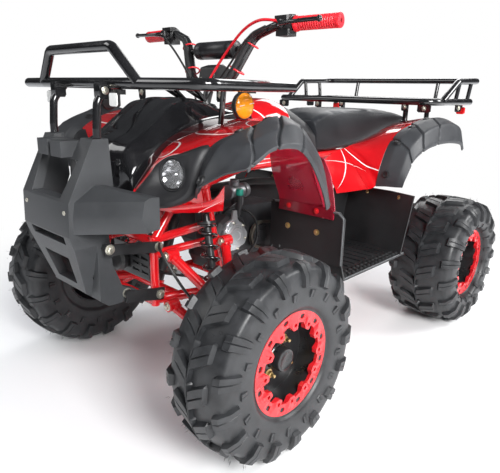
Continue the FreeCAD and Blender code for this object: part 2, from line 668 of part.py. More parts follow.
def frame_node():
    """Welded tube frame: lower rails, nose posts, shock towers, top rails and cross tubes."""
    r = mm.rail_radius
    b = mm.brace_radius
    x = mm.rail_x
    low = mm.rail_z - mm.rail_drop
    deck = mm.deck_z
    post = FRONT_AXLE - mm.post_ahead
    tower = FRONT_AXLE + mm.tower_behind
    top = mm.post_top
    pivot = REAR_AXLE - mm.arm_pivot_ahead
    nose = FRONT_AXLE - 17
    half = [
        tube([(x, post, mm.rail_z + 14), (x, FRONT_AXLE + 127, low), (x, REAR_AXLE - 447, low),
              (x, REAR_AXLE - 307, low + 26), (mm.deck_x + 4, REAR_AXLE - 55, deck + 12)], r, 60, 6),
        rod((x, post, mm.rail_z), (x, post, top), b, 6),
        rod((x, post, top - 6), (x, tower + 28, top + 4), b, 6),
        rod((x, post, top - 42), (x, tower + 48, top - 42), b - 1, 6),
        rod((x, post, top - 10), (x - 2, nose + 12, mm.tower_top - 8), b, 6),
        rod((x, tower, mm.tower_top), (x, tower + 64, low + 4), r, 6),
        tube([(x - 4, nose, mm.tower_top - 8), (x - 4, tower, mm.tower_top)]
             + [(mm.deck_x, *bend) for bend in deck_line()], r, 60, 6),
        rod((x, pivot - 2, low), (mm.deck_x, pivot - 22, deck + 4), b, 6),
        prism([(x - 3, tower - 116, 512), (x - 3, tower - 72, 566), (x - 3, tower, 572), (x - 3, tower + 16, 520),
               (x - 3, tower - 30, 506)], (6, 0, 0)),
        rod((x, FRONT_AXLE + mm.shock_behind, mm.shock_z), (mm.shock_x - 7, FRONT_AXLE + mm.shock_behind,
                                                            mm.shock_z), 8, 6)]
    cross = []
    for y, height in ((post, mm.rail_z + 6), (post, top - 10), (FRONT_AXLE - 9, low + 16),
                      (FRONT_AXLE + ENGINE_FRONT_SEAT, low), (FRONT_AXLE + ENGINE_REAR_SEAT, low),
                      (REAR_AXLE - DECK_BEND, deck + 6), (REAR_AXLE + mm.tail_behind - 8, deck + mm.tail_rise)):
        cross.append(rod((-x, y, height), (x, y, height), b, 6))
    along = stem_direction()
    foot = vector(0, FRONT_AXLE + mm.stem_foot_y, mm.stem_foot_z)
    z_bearing = deck - 12
    y_stem = foot.y + along.y / along.z * (z_bearing - foot.z)
    y_bearing = y_stem + (corner(mm.stem_radius, 12) + corner(b, 6) + mm.running_gap) / along.z
    cross.append(rod((-x + 2, y_bearing, z_bearing), (x - 2, y_bearing, z_bearing), b, 6))
    cross.append(rod(tuple(foot - along * mm.running_gap), tuple(foot - along * 20), 16))
    feature("frame", joined(half + [mirrored(piece) for piece in half] + cross))


def arm_inner():
    """Distance of the A-arms' pivot line from the middle."""
    return mm.rail_x + corner(mm.rail_radius, 6) + corner(mm.arm_boss_radius, 6) + mm.seat_gap


def lower_cross():
    """Middle of the short tube between the legs of a lower arm that takes the shock absorber."""
    share = mm.shock_foot_share
    x = arm_inner() + share * (KINGPIN - 14 - arm_inner())
    z = mm.rail_z + share * (mm.front_tyre_radius - mm.kingpin_rise - 9 - mm.rail_z)
    return x, 1, z


def front_arm_nodes():
    """A-arms: each a V of two tubes from the frame pivots to the ball joint at the kingpin."""
    z = mm.front_tyre_radius
    r = mm.arm_tube_radius
    boss = mm.arm_boss_radius
    x_in = arm_inner()
    for label, z_in, z_out, aim, rear in (
            ("upper_arms", mm.post_top - 42, z + mm.kingpin_rise, 5, mm.upper_arm_rear),
            ("lower_arms", mm.rail_z, z - mm.kingpin_rise, -9, mm.lower_arm_rear)):
        tip = (KINGPIN - 14, 0, z_out + aim)
        pieces = [rod((KINGPIN, 0, z_out - 11), (KINGPIN, 0, z_out + 11), 15)]
        for y in (mm.arm_front, rear):
            pieces.append(rod((x_in, y, z_in), tip, r, 6))
            pieces.append(rod((x_in, y - 15, z_in), (x_in, y + 15, z_in), boss, 6))
        if label == "lower_arms":
            x, y, height = lower_cross()
            taper = 1 - mm.shock_foot_share
            pieces.append(rod((x, mm.arm_front * taper, height), (x, rear * taper, height), mm.brace_radius - 1, 6))
        feature(label, pair(joined(pieces)), FRONT)


def front_rack(fender_rows):
    """Front rack: a flat tube frame open at the rear, a raised hoop, slats and four legs."""
    r = mm.rack_radius
    z = mm.front_rack_z
    w = mm.front_rack_half
    front = -mm.front_rack_ahead - 22
    rear = mm.front_rack_behind
    shoulder = -mm.front_rack_ahead + 6
    bar = rear - 88
    rim_path = [(306, rear, z), (w, shoulder, z), (190, front, z), (-190, front, z), (-w, shoulder, z),
                (-306, rear, z)]
    hoop = [(mm.hoop_half, front, z + 2), (mm.hoop_top_half, front - 12, z + mm.hoop_rise),
            (-mm.hoop_top_half, front - 12, z + mm.hoop_rise), (-mm.hoop_half, front, z + 2)]
    pieces = [tube(rim_path, r, 30, 6), tube(hoop, r - 0.5, 24, 6),
              rod((-322, bar, z), (322, bar, z), mm.slat_radius, 6)]
    for x in (-225, -75, 75, 225):
        pieces.append(rod((x, front, z), (x, bar, z), mm.slat_radius, 6))
    above_fender = space(fender_rows, -200, mm.seat_gap)
    foot = mm.bumper_half - mm.bumper_wall / 2
    for side in (1, -1):
        pieces.append(tube([(side * foot, front, z), (side * foot, front - 30, z - 36),
                            (side * foot, BUMPER_SEAT, mm.bumper_top + mm.seat_gap + 20),
                            (side * foot, BUMPER_SEAT, mm.bumper_top + mm.seat_gap)], 9, 30, 6))
        leg = rod((side * 170, bar, z), (side * 150, bar + 6, z - 122), mm.slat_radius, 6)
        pieces.append(leg.cut(above_fender if side > 0 else mirrored(above_fender)))
    feature("front_rack", joined(pieces), FRONT)


def rear_rack(fender_rows):
    """Rear rack: a lower loop, a raised rail with sloping feet, slats and legs on the fenders."""
    r = mm.rack_radius
    z = mm.rear_rack_z
    w = mm.rear_rack_half
    high = z + mm.rail_rise
    front = -mm.rear_rack_ahead
    rear = mm.rear_rack_behind
    loop = [(0, front, z), (w, front, z), (w, rear, z), (-w, rear, z), (-w, front, z), (0, front, z)]
    rail = [(w + 2, front + 70, z + 4), (w + 10, front + 160, high), (w + 8, rear + 14, high + 6),
            (-w - 8, rear + 14, high + 6), (-w - 10, front + 160, high), (-w - 2, front + 70, z + 4)]
    pieces = [tube(loop, r, 30, 6), tube(rail, r - 0.5, 30, 6)]
    for y in (front + 90, front + 180, rear - 80):
        pieces.append(rod((-w, y, z), (w, y, z), mm.slat_radius, 6))
    for x in (-180, 180):
        pieces.append(rod((x, rear, z), (x, rear + 14, high + 6), mm.slat_radius, 6))
    above_fender = space(fender_rows, -200, mm.seat_gap)
    for side in (1, -1):
        pieces.append(rod((side * (w - 1), rear - 60, z), (side * (w + 7), rear - 60, high + 4), 7, 6))
        for y in (front + 90, rear - 80):
            leg = rod((side * 190, y, z), (side * 190, y, z - 118), 9, 6)
            pieces.append(leg.cut(above_fender if side > 0 else mirrored(above_fender)))
    feature("rear_rack", joined(pieces), REAR)


def front_bumper():
    """Moulded bumper: two deep side plates, a front skin with its window and slot, side wings."""
    w = mm.bumper_half
    wall = mm.bumper_wall
    top = mm.bumper_top
    outer = [(-235, top), (-299, top - 128), (-302, top - 200), (-255, 352), (-221, 324), (-153, 322), (-145, 344),
             (-183, 362), (-205, 420), (-211, 500), (-209, 560), (-193, top - 100), (-199, top)]
    solid = prism([(-w, y, z) for y, z in outer], (2 * w, 0, 0))
    hollow = [(-209, top + 20), (-275, top - 134), (-278, top - 200), (-231, 356), (-199, 300), (-53, 300),
              (-53, top + 20)]
    solid = solid.cut(prism([(wall - w, y, z) for y, z in hollow], (2 * (w - wall), 0, 0)))
    for corners in ([(-46, top - 44), (46, top - 44), (38, top - 122), (-38, top - 122)],
                    [(-78, 496), (78, 496), (74, 478), (-74, 478)],
                    [(-56, 440), (56, 440), (44, 372), (-44, 372)],
                    [(-64, top + 60), (64, top + 60), (58, top - 10), (-58, top - 10)],
                    [(-60, 352), (60, 352), (60, 300), (-60, 300)]):
        solid = solid.cut(prism([(x, -353, z) for x, z in corners], (0, 240, 0)))
    for side in (1, -1):
        chin = [(side * 118, 505), (side * 64, 330), (side * 64, 300), (side * 140, 300), (side * 140, 505)]
        solid = solid.cut(prism([(x, -353, z) for x, z in chin], (0, 112, 0)))
    root = [(w - wall / 2, y, z) for y, z in ((-298, 505), (-299, 540), (-293, 574), (-243, 606), (-217, 604),
                                              (-217, 508))]
    tip = [(mm.wing_reach, y, z) for y, z in ((-193, 516), (-205, 548), (-197, 584), (-183, 590), (-161, 588),
                                              (-161, 520))]
    wing = lofted([root, tip])
    pieces = [solid, wing, mirrored(wing)]
    for x in (-30, 30):
        pieces.append(block((x - 24, x + 24), (-279, -233), (top - 40, top - 6)))
    feature("front_bumper", joined(pieces), FRONT)
    near = mm.rail_x + corner(mm.rail_radius, 6) + mm.seat_gap
    lower = prism([(near, -187, 328), (near, -83, 306), (near, -78, 336), (near, -183, 356)], (5, 0, 0))
    upper = prism([(near, -233, 452), (near, -99, 430), (near, -91, 456), (near, -231, 476)], (5, 0, 0))
    brackets = []
    for arm, y, z, seat in ((lower, -173, 343, mm.rail_x), (upper, -223, 464, mm.rail_x)):
        bolts = [rod((w + mm.seat_gap, y, z), (near + 2, y, z), 9, 6)]
        bolts.append(rod((seat + corner(mm.brace_radius, 6) + mm.seat_gap, -mm.post_ahead, z - 20),
                         (near + 2, -mm.post_ahead, z - 20), 8, 6))
        brackets.append(joined([arm] + bolts))
    feature("bumper_brackets", pair(Part.makeCompound(brackets)), FRONT)


def cowl_rows():
    """Rows of the nose cowl from the chin back: joint, side crease, ridge and top, then mirrored."""
    w = mm.cowl_half
    halves = [[(w - 4, -145, 574), (w - 8, -153, 568), (84, -157, 560), (40, -159, 556)],
              [(w, -146, 585), (w, -152, 619), (90, -145, 664), (40, -143, 672)],
              [(w, -104, 626), (w, -104, 656), (90, -104, 701), (40, -104, 707)],
              [(w, -52, 676), (w, -52, 694), (90, -52, 739), (40, -52, 745)],
              [(w, 7, 697), (w, 7, 718), (92, -3, 772), (44, 7, 780)],
              [(w, 67, 712), (w, 67, 735), (90, 67, 776), (44, 67, 784)],
              [(w, 126, 724), (w, 126, 743), (88, 123, 768), (44, 123, 774)],
              [(w, 183, 734), (w, 183, 749), (88, 161, 756), (44, 143, 760)]]
    return [row + [(-x, y, z) for x, y, z in row[::-1]] for row in halves]


def front_fender_rows():
    """Rows of a front fender, from the cowl's joint outward."""
    x = mm.cowl_half + mm.seat_gap
    joints = [(-149, 582), (-104, 626), (-85, 646), (-52, 676), (7, 697), (67, 712), (126, 724), (197, 734)]
    edges = [(128, -149, 576), (140, -104, 620), (148, -85, 642), (270, -52, 691), (288, 7, 718),
             (296, 67, 735), (298, 126, 738), (297, 197, 716)]
    rows = []
    for (y, z), edge in zip(joints, edges):
        middle = ((x + edge[0]) / 2, (y + edge[1]) / 2, (z + edge[2]) / 2 + 4)
        rows.append([(x, y, z), middle, edge])
    return rows


def front_flare_rows():
    """Rows of a front flare: fender edge, ridge, shoulder and lip."""
    gap = 1.4
    return [[(258, -89, 580), (300, -123, 612), (372, -115, 650), (418, -97, 664)],
            [(266, -80, 640), (306, -91, 668), (376, -73, 684), (420, -59, 684)],
            [(270 + gap, -52, 691), (312, -52, 704), (380, -45, 708), (422, -29, 698)],
            [(288 + gap, 7, 718), (334, 7, 735), (388, 9, 728), (424, 11, 703)],
            [(296 + gap, 67, 735), (342, 67, 755), (394, 67, 738), (424, 63, 694)],
            [(298 + gap, 126, 738), (346, 123, 742), (396, 115, 708), (424, 111, 655)],
            [(297 + gap, 197, 716), (348, 189, 696), (396, 175, 650), (424, 157, 590)],
            [(304, 231, 560), (348, 229, 556), (392, 211, 548), (420, 179, 545)]]


def rear_fender_rows():
    """Rows of a rear fender, from the seat's edge down and outward."""
    x = mm.seat_half + mm.seat_gap
    edge = mm.fender_half - 1
    return [[(x, -477, 598), (168, -477, 560), (200, -477, 500)],
            [(x, -407, 622), (182, -407, 580), (240, -407, 508)],
            [(x, -350, 630), (190, -350, 598), (edge, -350, 516)],
            [(x, -335, 634), (192, -335, 618), (edge, -335, 569)],
            [(x, -297, 640), (196, -297, 640), (edge, -297, 637)],
            [(x, -242, 650), (200, -242, 668), (edge, -242, 680)],
            [(x, -181, 664), (200, -181, 688), (edge, -181, 699)],
            [(x, -91, 688), (200, -91, 706), (edge, -91, 717)],
            [(x, -7, 700), (200, -7, 712), (edge, -7, 722)],
            [(x, 93, 700), (200, 93, 704), (edge, 93, 705)]]


def rear_flare_rows():
    """Rows of a rear flare: fender edge, ridge, shoulder and lip."""
    x = mm.fender_half
    return [[(x, -350, 516), (292, -350, 520), (330, -347, 522), (350, -343, 524)],
            [(x, -335, 569), (292, -337, 576), (332, -333, 570), (352, -329, 556)],
            [(x, -297, 637), (292, -299, 644), (334, -295, 632), (354, -293, 604)],
            [(x, -242, 680), (294, -242, 686), (336, -239, 668), (354, -237, 630)],
            [(x, -181, 699), (296, -181, 706), (338, -179, 690), (354, -179, 645)],
            [(x, -91, 717), (296, -91, 722), (338, -91, 704), (354, -91, 651)],
            [(x, -7, 722), (296, -7, 727), (338, -7, 708), (354, -7, 649)],
            [(x, 93, 705), (294, 97, 708), (334, 93, 690), (350, 85, 636)],
            [(x + 2, 133, 668), (292, 139, 668), (330, 133, 650), (346, 121, 612)]]


def front_body():
    """Nose cowl, front fenders with their lower skirts, lamp pods, lamps and flares."""
    wall = mm.panel_wall
    feature("nose_cowl", panel(cowl_rows(), wall), FRONT)
    rows = front_fender_rows()
    w = mm.cowl_half
    skirt = [[(w + 3, -148, 590), (140, -139, 562), (190, -87, 552), (226, -13, 560), (236, 18, 590)],
             [(w + 3, -153, 562), (140, -143, 550), (190, -83, 536), (222, -13, 532), (232, 18, 532)]]
    fender = joined([panel(rows, wall), panel(skirt, wall, vector(1, -1, 0))])
    feature("front_fenders", pair(fender), FRONT)
    rings = []
    for y, x, z, rx, rz in ((-161, 152, 584, 8, 6), (-123, 176, 600, 34, 22), (-85, 198, 622, 54, 46),
                            (-43, 214, 632, 48, 42), (2, 232, 650, 34, 32)):
        rings.append([(x + rx * math.cos(turn), y, z + rz * math.sin(turn))
                      for turn in [i * math.pi / 4 for i in range(8)]])
    lamp = (mm.lamp_x, -mm.lamp_ahead, mm.lamp_z)
    socket = rod(lamp, (mm.lamp_x, -193, mm.lamp_z), mm.lamp_radius + mm.seat_gap, 10)
    pod = lofted(rings).cut(space(rows, -2.2 * wall, 200)).cut(space(rows[1:4], -4 * wall, 0)).cut(socket)
    feature("lamp_pods", pair(pod), FRONT)
    r = mm.lamp_radius
    glass = turned((mm.lamp_x, -mm.lamp_ahead - mm.seat_gap, mm.lamp_z), (0, -1, 0),
                   [(0, r), (16, r), (26, 0.8 * r), (30, 0.3 * r)], 10)
    feature("headlamps", pair(glass), FRONT)
    feature("front_flares", pair(panel(front_flare_rows(), mm.flare_wall)), FRONT)


def rear_body():
    """Rear fenders and flares, the seat and the tank cover."""
    wall = mm.panel_wall
    feature("rear_fenders", pair(panel(rear_fender_rows(), wall, vector(1, -0.3, 1))), REAR)
    feature("rear_flares", pair(panel(rear_flare_rows(), mm.flare_wall)), REAR)
    seat = []
    for y, side, top, share in ((-467, 600, 716, 0.74), (-397, 630, 738, 0.9), (-267, 646, 748, 1),
                                (-107, 686, 742, 1), (23, 694, 728, 0.94), (123, 690, 712, 0.78)):
        half = mm.seat_half * share
        floor = rest_height(REAR_AXLE + y)
        pan = min(112, half - 4)
        side = max(side, floor + 2)
        seat.append([(-pan, y, floor), (-half, y, side), (-half, y, (side + top) / 2 + 10), (-half * 0.8, y, top),
                     (half * 0.8, y, top), (half, y, (side + top) / 2 + 10), (half, y, side), (pan, y, floor)])
    feature("seat", lofted(seat), REAR)
    rows = []
    first = FRONT_AXLE + TANK_FRONT
    last = REAR_AXLE - 467 - mm.seat_gap
    for share, top, half in ((0, 768, 88), (0.333, 782, 100), (0.63, 762, 104), (1, 716, 104)):
        y = first + share * (last - first)
        floor = rest_height(y)
        rows.append([(-half, y, floor), (-half * 0.92, y, top - 42), (-half * 0.5, y, top),
                     (half * 0.5, y, top), (half * 0.92, y, top - 42), (half, y, floor)])
    feature("tank_cover", panel(rows, wall))


def footwell_nodes():
    """Footwell trays between the wheels on their side bars, and the splash panels in front of them."""
    z = mm.footwell_z
    wall = mm.flare_wall
    out = mm.footwell_half
    near = mm.rail_x + 32
    floor = z + wall
    front = FRONT_AXLE + mm.front_tyre_radius + mm.footwell_behind_wheel
    rear = REAR_AXLE - mm.rear_tyre_radius - mm.footwell_ahead_wheel
    toe = rear - 56
    tray = [block((near, out), (front + 16, toe), (z, floor)),
            prism([(near, front, 360), (out, front, 360), (out, front, 490), (out - 16, front, 506),
                   (near, front, 506)], (0, wall, 0)),
            prism([(near, front + 16, z), (near, front, 362), (near, front + wall, 362), (near, front + 22, floor)],
                  (out - near, 0, 0)),
            prism([(near - wall, front, z), (near - wall, toe, z), (near - wall, rear, 500),
                   (near - wall, front, 500)], (wall + 0.5, 0, 0)),
            prism([(near, toe - 6, z + 1), (near, toe, z), (near, rear, 500), (near, rear - 6, 500)], (150, 0, 0)),
            prism([(near + 150, toe - 6, z + 1), (near + 150, toe, z), (near + 150, rear, 500),
                   (near + 150, rear - 6, 500)], (out - near - 150, -24, 0))]
    feature("footwells", pair(joined(tray)))
    top = z - 2 * mm.seat_gap - mm.brace_radius
    x = mm.rail_x + corner(mm.rail_radius, 6) + mm.seat_gap
    rail = mm.rail_z - mm.rail_drop
    span = rear - front
    start = front + 0.26 * span
    end = front + 0.81 * span
    bar = tube([(x, start, rail), (x + 20, start, rail), (230, start, top), (345, start + 0.1 * span, top),
                (345, end - 0.07 * span, top), (230, end, top), (x + 20, end, rail), (x, end, rail)],
               mm.brace_radius, 40, 6)
    feature("side_bars", pair(bar))
    y = -mm.seat_gap - mm.panel_wall
    rows = [[(168, y, 484), (275, y, 484), (378, y, 484)], [(168, y, 516), (275, y, 516), (378, y, 516)],
            [(176, -50, 600), (275, -54, 604), (368, -46, 600)], [(196, -84, 656), (275, -80, 664),
                                                                  (312, -78, 656)]]
    rows = [[(px, front + py, pz) for px, py, pz in row] for row in rows]
    feature("splash_panels", pair(panel(rows, mm.panel_wall, vector(0, -1, 0))))


def reflector_nodes():
    """Amber side reflectors and front and rear reflectors hanging from the racks."""
    r = mm.reflector_radius
    under = mm.front_rack_z - mm.slat_radius - mm.seat_gap
    bar = mm.front_rack_behind - 88
    disc = rod((262, bar - 38, under - r - 4), (284, bar - 38, under - r - 4), r, 12)
    stay = block((262, 272), (bar - 46, bar + 4), (under - 8, under))
    feature("amber_reflectors", pair(joined([disc, stay])), FRONT)
    under = mm.front_rack_z - mm.rack_radius - mm.seat_gap
    bar = -mm.front_rack_ahead - 22
    box = block((124, 152), (bar - 19, bar - 9), (under - 34, under - 6))
    stay = block((130, 146), (bar - 11, bar + 7), (under - 10, under))
    feature("front_reflectors", pair(joined([box, stay])), FRONT)
    under = mm.rear_rack_z - mm.rack_radius - mm.seat_gap
    bar = mm.rear_rack_behind
    box = block((268, 298), (bar + 2, bar + 12), (under - 34, under - 8))
    stay = block((276, 290), (bar - 6, bar + 4), (under - 12, under))
    feature("rear_reflectors", pair(joined([box, stay])), REAR)


def engine_nodes():
    """Crankcase with finned cylinder, side cover, drive sprocket, carburettor and exhaust."""
    low = mm.rail_z - mm.rail_drop + mm.brace_radius + mm.seat_gap
    profile = [(169, low + 40), (189, low), (403, low), (433, low + 30), (441, 420), (417, 470), (177, 484),
               (169, 470)]
    case = [prism([(-80, y, z) for y, z in profile], (140, 0, 0)),
            turned((-96, 207, 408), (1, 0, 0), [(0, 58), (12, 70), (166, 70)], 12),
            turned((60, 182, 408), (1, 0, 0), [(0, 62), (30, 62), (40, 54)], 12)]
    case.append(block((-42, 42), (93, 177), (402, 482)))
    for i in range(5):
        y = 115 + i * 12
        case.append(block((-54, 54), (y, y + 4), (392, 492)))
    drive = mm.drive_behind
    case.append(sprocket(mm.sprocket_x, drive, mm.drive_z, mm.drive_radius, 11, mm.sprocket_wall))
    case.append(rod((50, drive, mm.drive_z), (mm.sprocket_x + 10, drive, mm.drive_z), 13))
    feature("engine", joined(case), FRONT)
    cover = turned((100 + mm.seat_gap, 182, 412), (1, 0, 0), [(0, 50), (10, 50), (16, 42)], 12)
    tab = block((100 + mm.seat_gap, 106), (169, 195), (440, 484))
    feature("engine_cover", joined([cover, tab]), FRONT)
    top = 484
    body = [rod((40, 257, top - 4), (40, 257, top + 30), 18), rod((40, 215, top + 36), (40, 293, top + 36), 22),
            rod((40, 244, top + 40), (40, 244, top + 74), 15)]
    seat = prism([(-80, 169, 470), (-80, 177, top + mm.seat_gap), (-80, 417, 470 + mm.seat_gap), (-80, 417, 300),
                  (-80, 169, 300)], (300, 0, 0))
    feature("carburettor", joined(body).cut(seat), FRONT)
    port = FRONT_AXLE + 127
    can_start = REAR_AXLE - 267
    pipe = tube([(-54 - mm.seat_gap, port, 450), (-74, port, 450), (-80, port + 40, 512), (-76, port + 320, 512),
                 (-66, can_start - 90, 490), (-120, can_start - 30, 474), (-172, can_start + 22, 474)], 12, 0, 6)
    can = turned((-172, can_start, 474), (0, 1, 0.08), [(0, 16), (24, 42), (280, 42), (305, 18)], 10)
    hanger = block((-150, -mm.rail_x - corner(mm.rail_radius, 6) - mm.seat_gap), (can_start + 128, can_start + 152),
                   (486, 510))
    feature("muffler", joined([pipe, can, hanger]))


def write_parts():
    """Check every object, then write one file for each node."""
    doc.recompute()
    for obj in doc.Objects:
        if "Invalid" in obj.State or "Error" in obj.State:
            raise RuntimeError(f"{obj.Name} did not build")
    for obj in NODES:
        if obj.Shape.isNull() or not obj.Shape.isValid():
            raise RuntimeError(f"{obj.Label} has no valid shape")
    os.makedirs("parts", exist_ok=True)
    for obj in NODES:
        obj.Shape.exportStep(f"parts/{obj.Label}.step")
    print(len(NODES), "nodes")


wheel_nodes()
rear_axle()
swingarm()
shock_nodes()
chain()
knuckle_nodes()
tie_rod_nodes()
steering_nodes()
frame_node()
front_arm_nodes()
front_body()
rear_body()
footwell_nodes()
front_rack(front_fender_rows())
rear_rack(rear_fender_rows())
front_bumper()
reflector_nodes()
engine_nodes()
write_parts()
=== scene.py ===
import math

import bmesh
import bpy
import numpy as np
from mathutils import Matrix, Vector


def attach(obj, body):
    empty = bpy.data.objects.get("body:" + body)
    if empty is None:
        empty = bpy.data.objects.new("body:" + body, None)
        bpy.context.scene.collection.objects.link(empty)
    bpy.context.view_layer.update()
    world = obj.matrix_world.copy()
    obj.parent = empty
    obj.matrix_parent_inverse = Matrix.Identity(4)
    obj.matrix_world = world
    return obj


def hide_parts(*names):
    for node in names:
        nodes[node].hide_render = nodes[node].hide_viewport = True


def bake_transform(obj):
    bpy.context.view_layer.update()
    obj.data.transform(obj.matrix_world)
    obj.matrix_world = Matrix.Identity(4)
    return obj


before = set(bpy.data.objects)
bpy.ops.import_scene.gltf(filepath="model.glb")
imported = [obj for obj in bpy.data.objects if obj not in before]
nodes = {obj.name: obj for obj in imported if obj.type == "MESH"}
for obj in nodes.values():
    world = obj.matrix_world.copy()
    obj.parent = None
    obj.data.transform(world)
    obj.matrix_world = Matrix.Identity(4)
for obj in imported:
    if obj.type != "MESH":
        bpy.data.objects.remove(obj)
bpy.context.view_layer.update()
scene = bpy.context.scene

# The camera stands at the quad's front left corner, at chest height, looking back and down.
# Its place, turn and lens were solved from points measured on the wheels, racks and bumper.
EYE = (1.0637, -1.2413, 0.8043)
HEADING, DIP, ROLL = (math.radians(a) for a in (43.2817, 16.2467, 1.2107))
ahead = Vector((-math.sin(HEADING) * math.cos(DIP), math.cos(HEADING) * math.cos(DIP), -math.sin(DIP)))
right = Vector((math.cos(HEADING), math.sin(HEADING), 0))
above = right.cross(ahead)
right, above = (math.cos(ROLL) * right + math.sin(ROLL) * above,
                math.cos(ROLL) * above - math.sin(ROLL) * right)
lens = bpy.data.cameras.new("camera")
SENSOR_WIDTH, PHOTO_WIDTH, FOCAL_PIXELS = 36, 500, 502.8144
lens.sensor_width = SENSOR_WIDTH
lens.lens = FOCAL_PIXELS / PHOTO_WIDTH * SENSOR_WIDTH
camera = bpy.data.objects.new("camera", lens)
camera.matrix_world = Matrix((right, above, -ahead)).transposed().to_4x4()
camera.location = EYE
scene.collection.objects.link(camera)
scene.camera = camera
scene.view_settings.view_transform = "Standard"


def wired(tree, kind, inputs=None, **settings):
    """Add one shader node, set its plain inputs, and link the inputs that are given sockets."""
    node = tree.nodes.new("ShaderNode" + kind)
    for key, value in settings.items():
        setattr(node, key, value)
    for key, value in (inputs or {}).items():
        if isinstance(value, bpy.types.NodeSocket):
            tree.links.new(value, node.inputs[key])
        else:
            node.inputs[key].default_value = value
    return node


# The studio: a pale floor that fades to a white surround, one large soft lamp over each front
# corner and a low one behind. The surround is white where it is seen, and dimmer as a light.
world = bpy.data.worlds.new("studio")
scene.world = world
world.use_nodes = True
sky = world.node_tree
sky.nodes.clear()
rays = wired(sky, "LightPath")
seen = wired(sky, "Math", {0: rays.outputs["Is Camera Ray"], 1: rays.outputs["Is Transmission Ray"]},
             operation="MAXIMUM")
towards = wired(sky, "TexCoord")
upward = wired(sky, "SeparateXYZ", {0: towards.outputs["Generated"]})
fall = wired(sky, "MapRange",
             {"Value": upward.outputs[2], "From Min": -0.05, "From Max": 0.85, "To Min": 0.12,
              "To Max": 0.6}, interpolation_type="SMOOTHSTEP")
mirrored_share = wired(sky, "Math", {0: rays.outputs["Is Glossy Ray"], 1: -0.82, 2: 1.0},
                       operation="MULTIPLY_ADD")
low_light = wired(sky, "Math", {0: fall.outputs[0], 1: mirrored_share.outputs[0]}, operation="MULTIPLY")
dim = wired(sky, "Background", {"Color": (0.9, 0.93, 1.0, 1), "Strength": low_light.outputs[0]})
white = wired(sky, "Background", {"Color": (1, 1, 1, 1), "Strength": 1.0})
mixed = wired(sky, "MixShader", {0: seen.outputs[0], 1: dim.outputs[0], 2: white.outputs[0]})
wired(sky, "OutputWorld", {"Surface": mixed.outputs[0]})

for name, place, size, power in (("key_lamp", (3.2, -1.3, 2.2), 1.4, 185),
                                 ("fill_lamp", (-2.4, -2.8, 3.0), 1.8, 34),
                                 ("side_lamp", (2.6, 2.4, 2.4), 1.4, 90),
                                 ("back_lamp", (-1.2, 3.2, 2.8), 2.0, 60)):
    lamp = bpy.data.lights.new(name, "AREA")
    lamp.size = size
    lamp.energy = power
    lamp_object = bpy.data.objects.new(name, lamp)
    lamp_object.location = place
    lamp_object.rotation_euler = (Vector((0, 0, 0.35)) - Vector(place)).to_track_quat("-Z", "Y").to_euler()
    scene.collection.objects.link(lamp_object)

floor_mesh = bpy.data.meshes.new("studio_floor")
floor_mesh.from_pydata([(-14, -14, 0), (14, -14, 0), (14, 14, 0), (-14, 14, 0)], [], [(0, 1, 2, 3)])
floor = bpy.data.objects.new("studio_floor", floor_mesh)
scene.collection.objects.link(floor)
paint = bpy.data.materials.new("floor_paint")
paint.use_nodes = True
tree = paint.node_tree
tree.nodes.clear()
spot = wired(tree, "TexCoord")
reach = wired(tree, "VectorMath", {0: spot.outputs["Object"]}, operation="LENGTH")
fade = wired(tree, "MapRange", {"Value": reach.outputs["Value"], "From Min": 0.8, "From Max": 1.9},
             interpolation_type="SMOOTHSTEP")
matt = wired(tree, "BsdfDiffuse", {"Color": (0.93, 0.93, 0.93, 1)})
glow = wired(tree, "Emission", {"Color": (1, 1, 1, 1), "Strength": 1.0})
floor_rays = wired(tree, "LightPath")
share = wired(tree, "Math", {0: fade.outputs[0], 1: floor_rays.outputs["Is Camera Ray"]},
              operation="MULTIPLY")
blended = wired(tree, "MixShader", {0: share.outputs[0], 1: matt.outputs[0], 2: glow.outputs[0]})
wired(tree, "OutputMaterial", {"Surface": blended.outputs[0]})
floor_mesh.materials.append(paint)

# Wheels: knobby rubber tyres on deep black steel rims, with a red moulded trim ring at the rim's
# outer edge. The front pair steers and spins one by one, the rear pair turns with the live axle.
FRONT_AXLE, REAR_AXLE = -0.4695, 0.5435
HUBS = {"fl": (0.398, FRONT_AXLE, 0.238), "fr": (-0.398, FRONT_AXLE, 0.238),
        "rl": (0.368, REAR_AXLE, 0.226), "rr": (-0.368, REAR_AXLE, 0.226)}
TYRE_SIZE = {"f": (0.238, 0.185), "r": (0.226, 0.245)}
RING_INSET = {"f": 0.015, "r": 0.029}
TREAD_PITCHES = 17
RING_MODULES, SIDE_SAMPLES = 12, 8
HAIRS, HAIR_SEED = {"f": 170, "r": 150}, 7


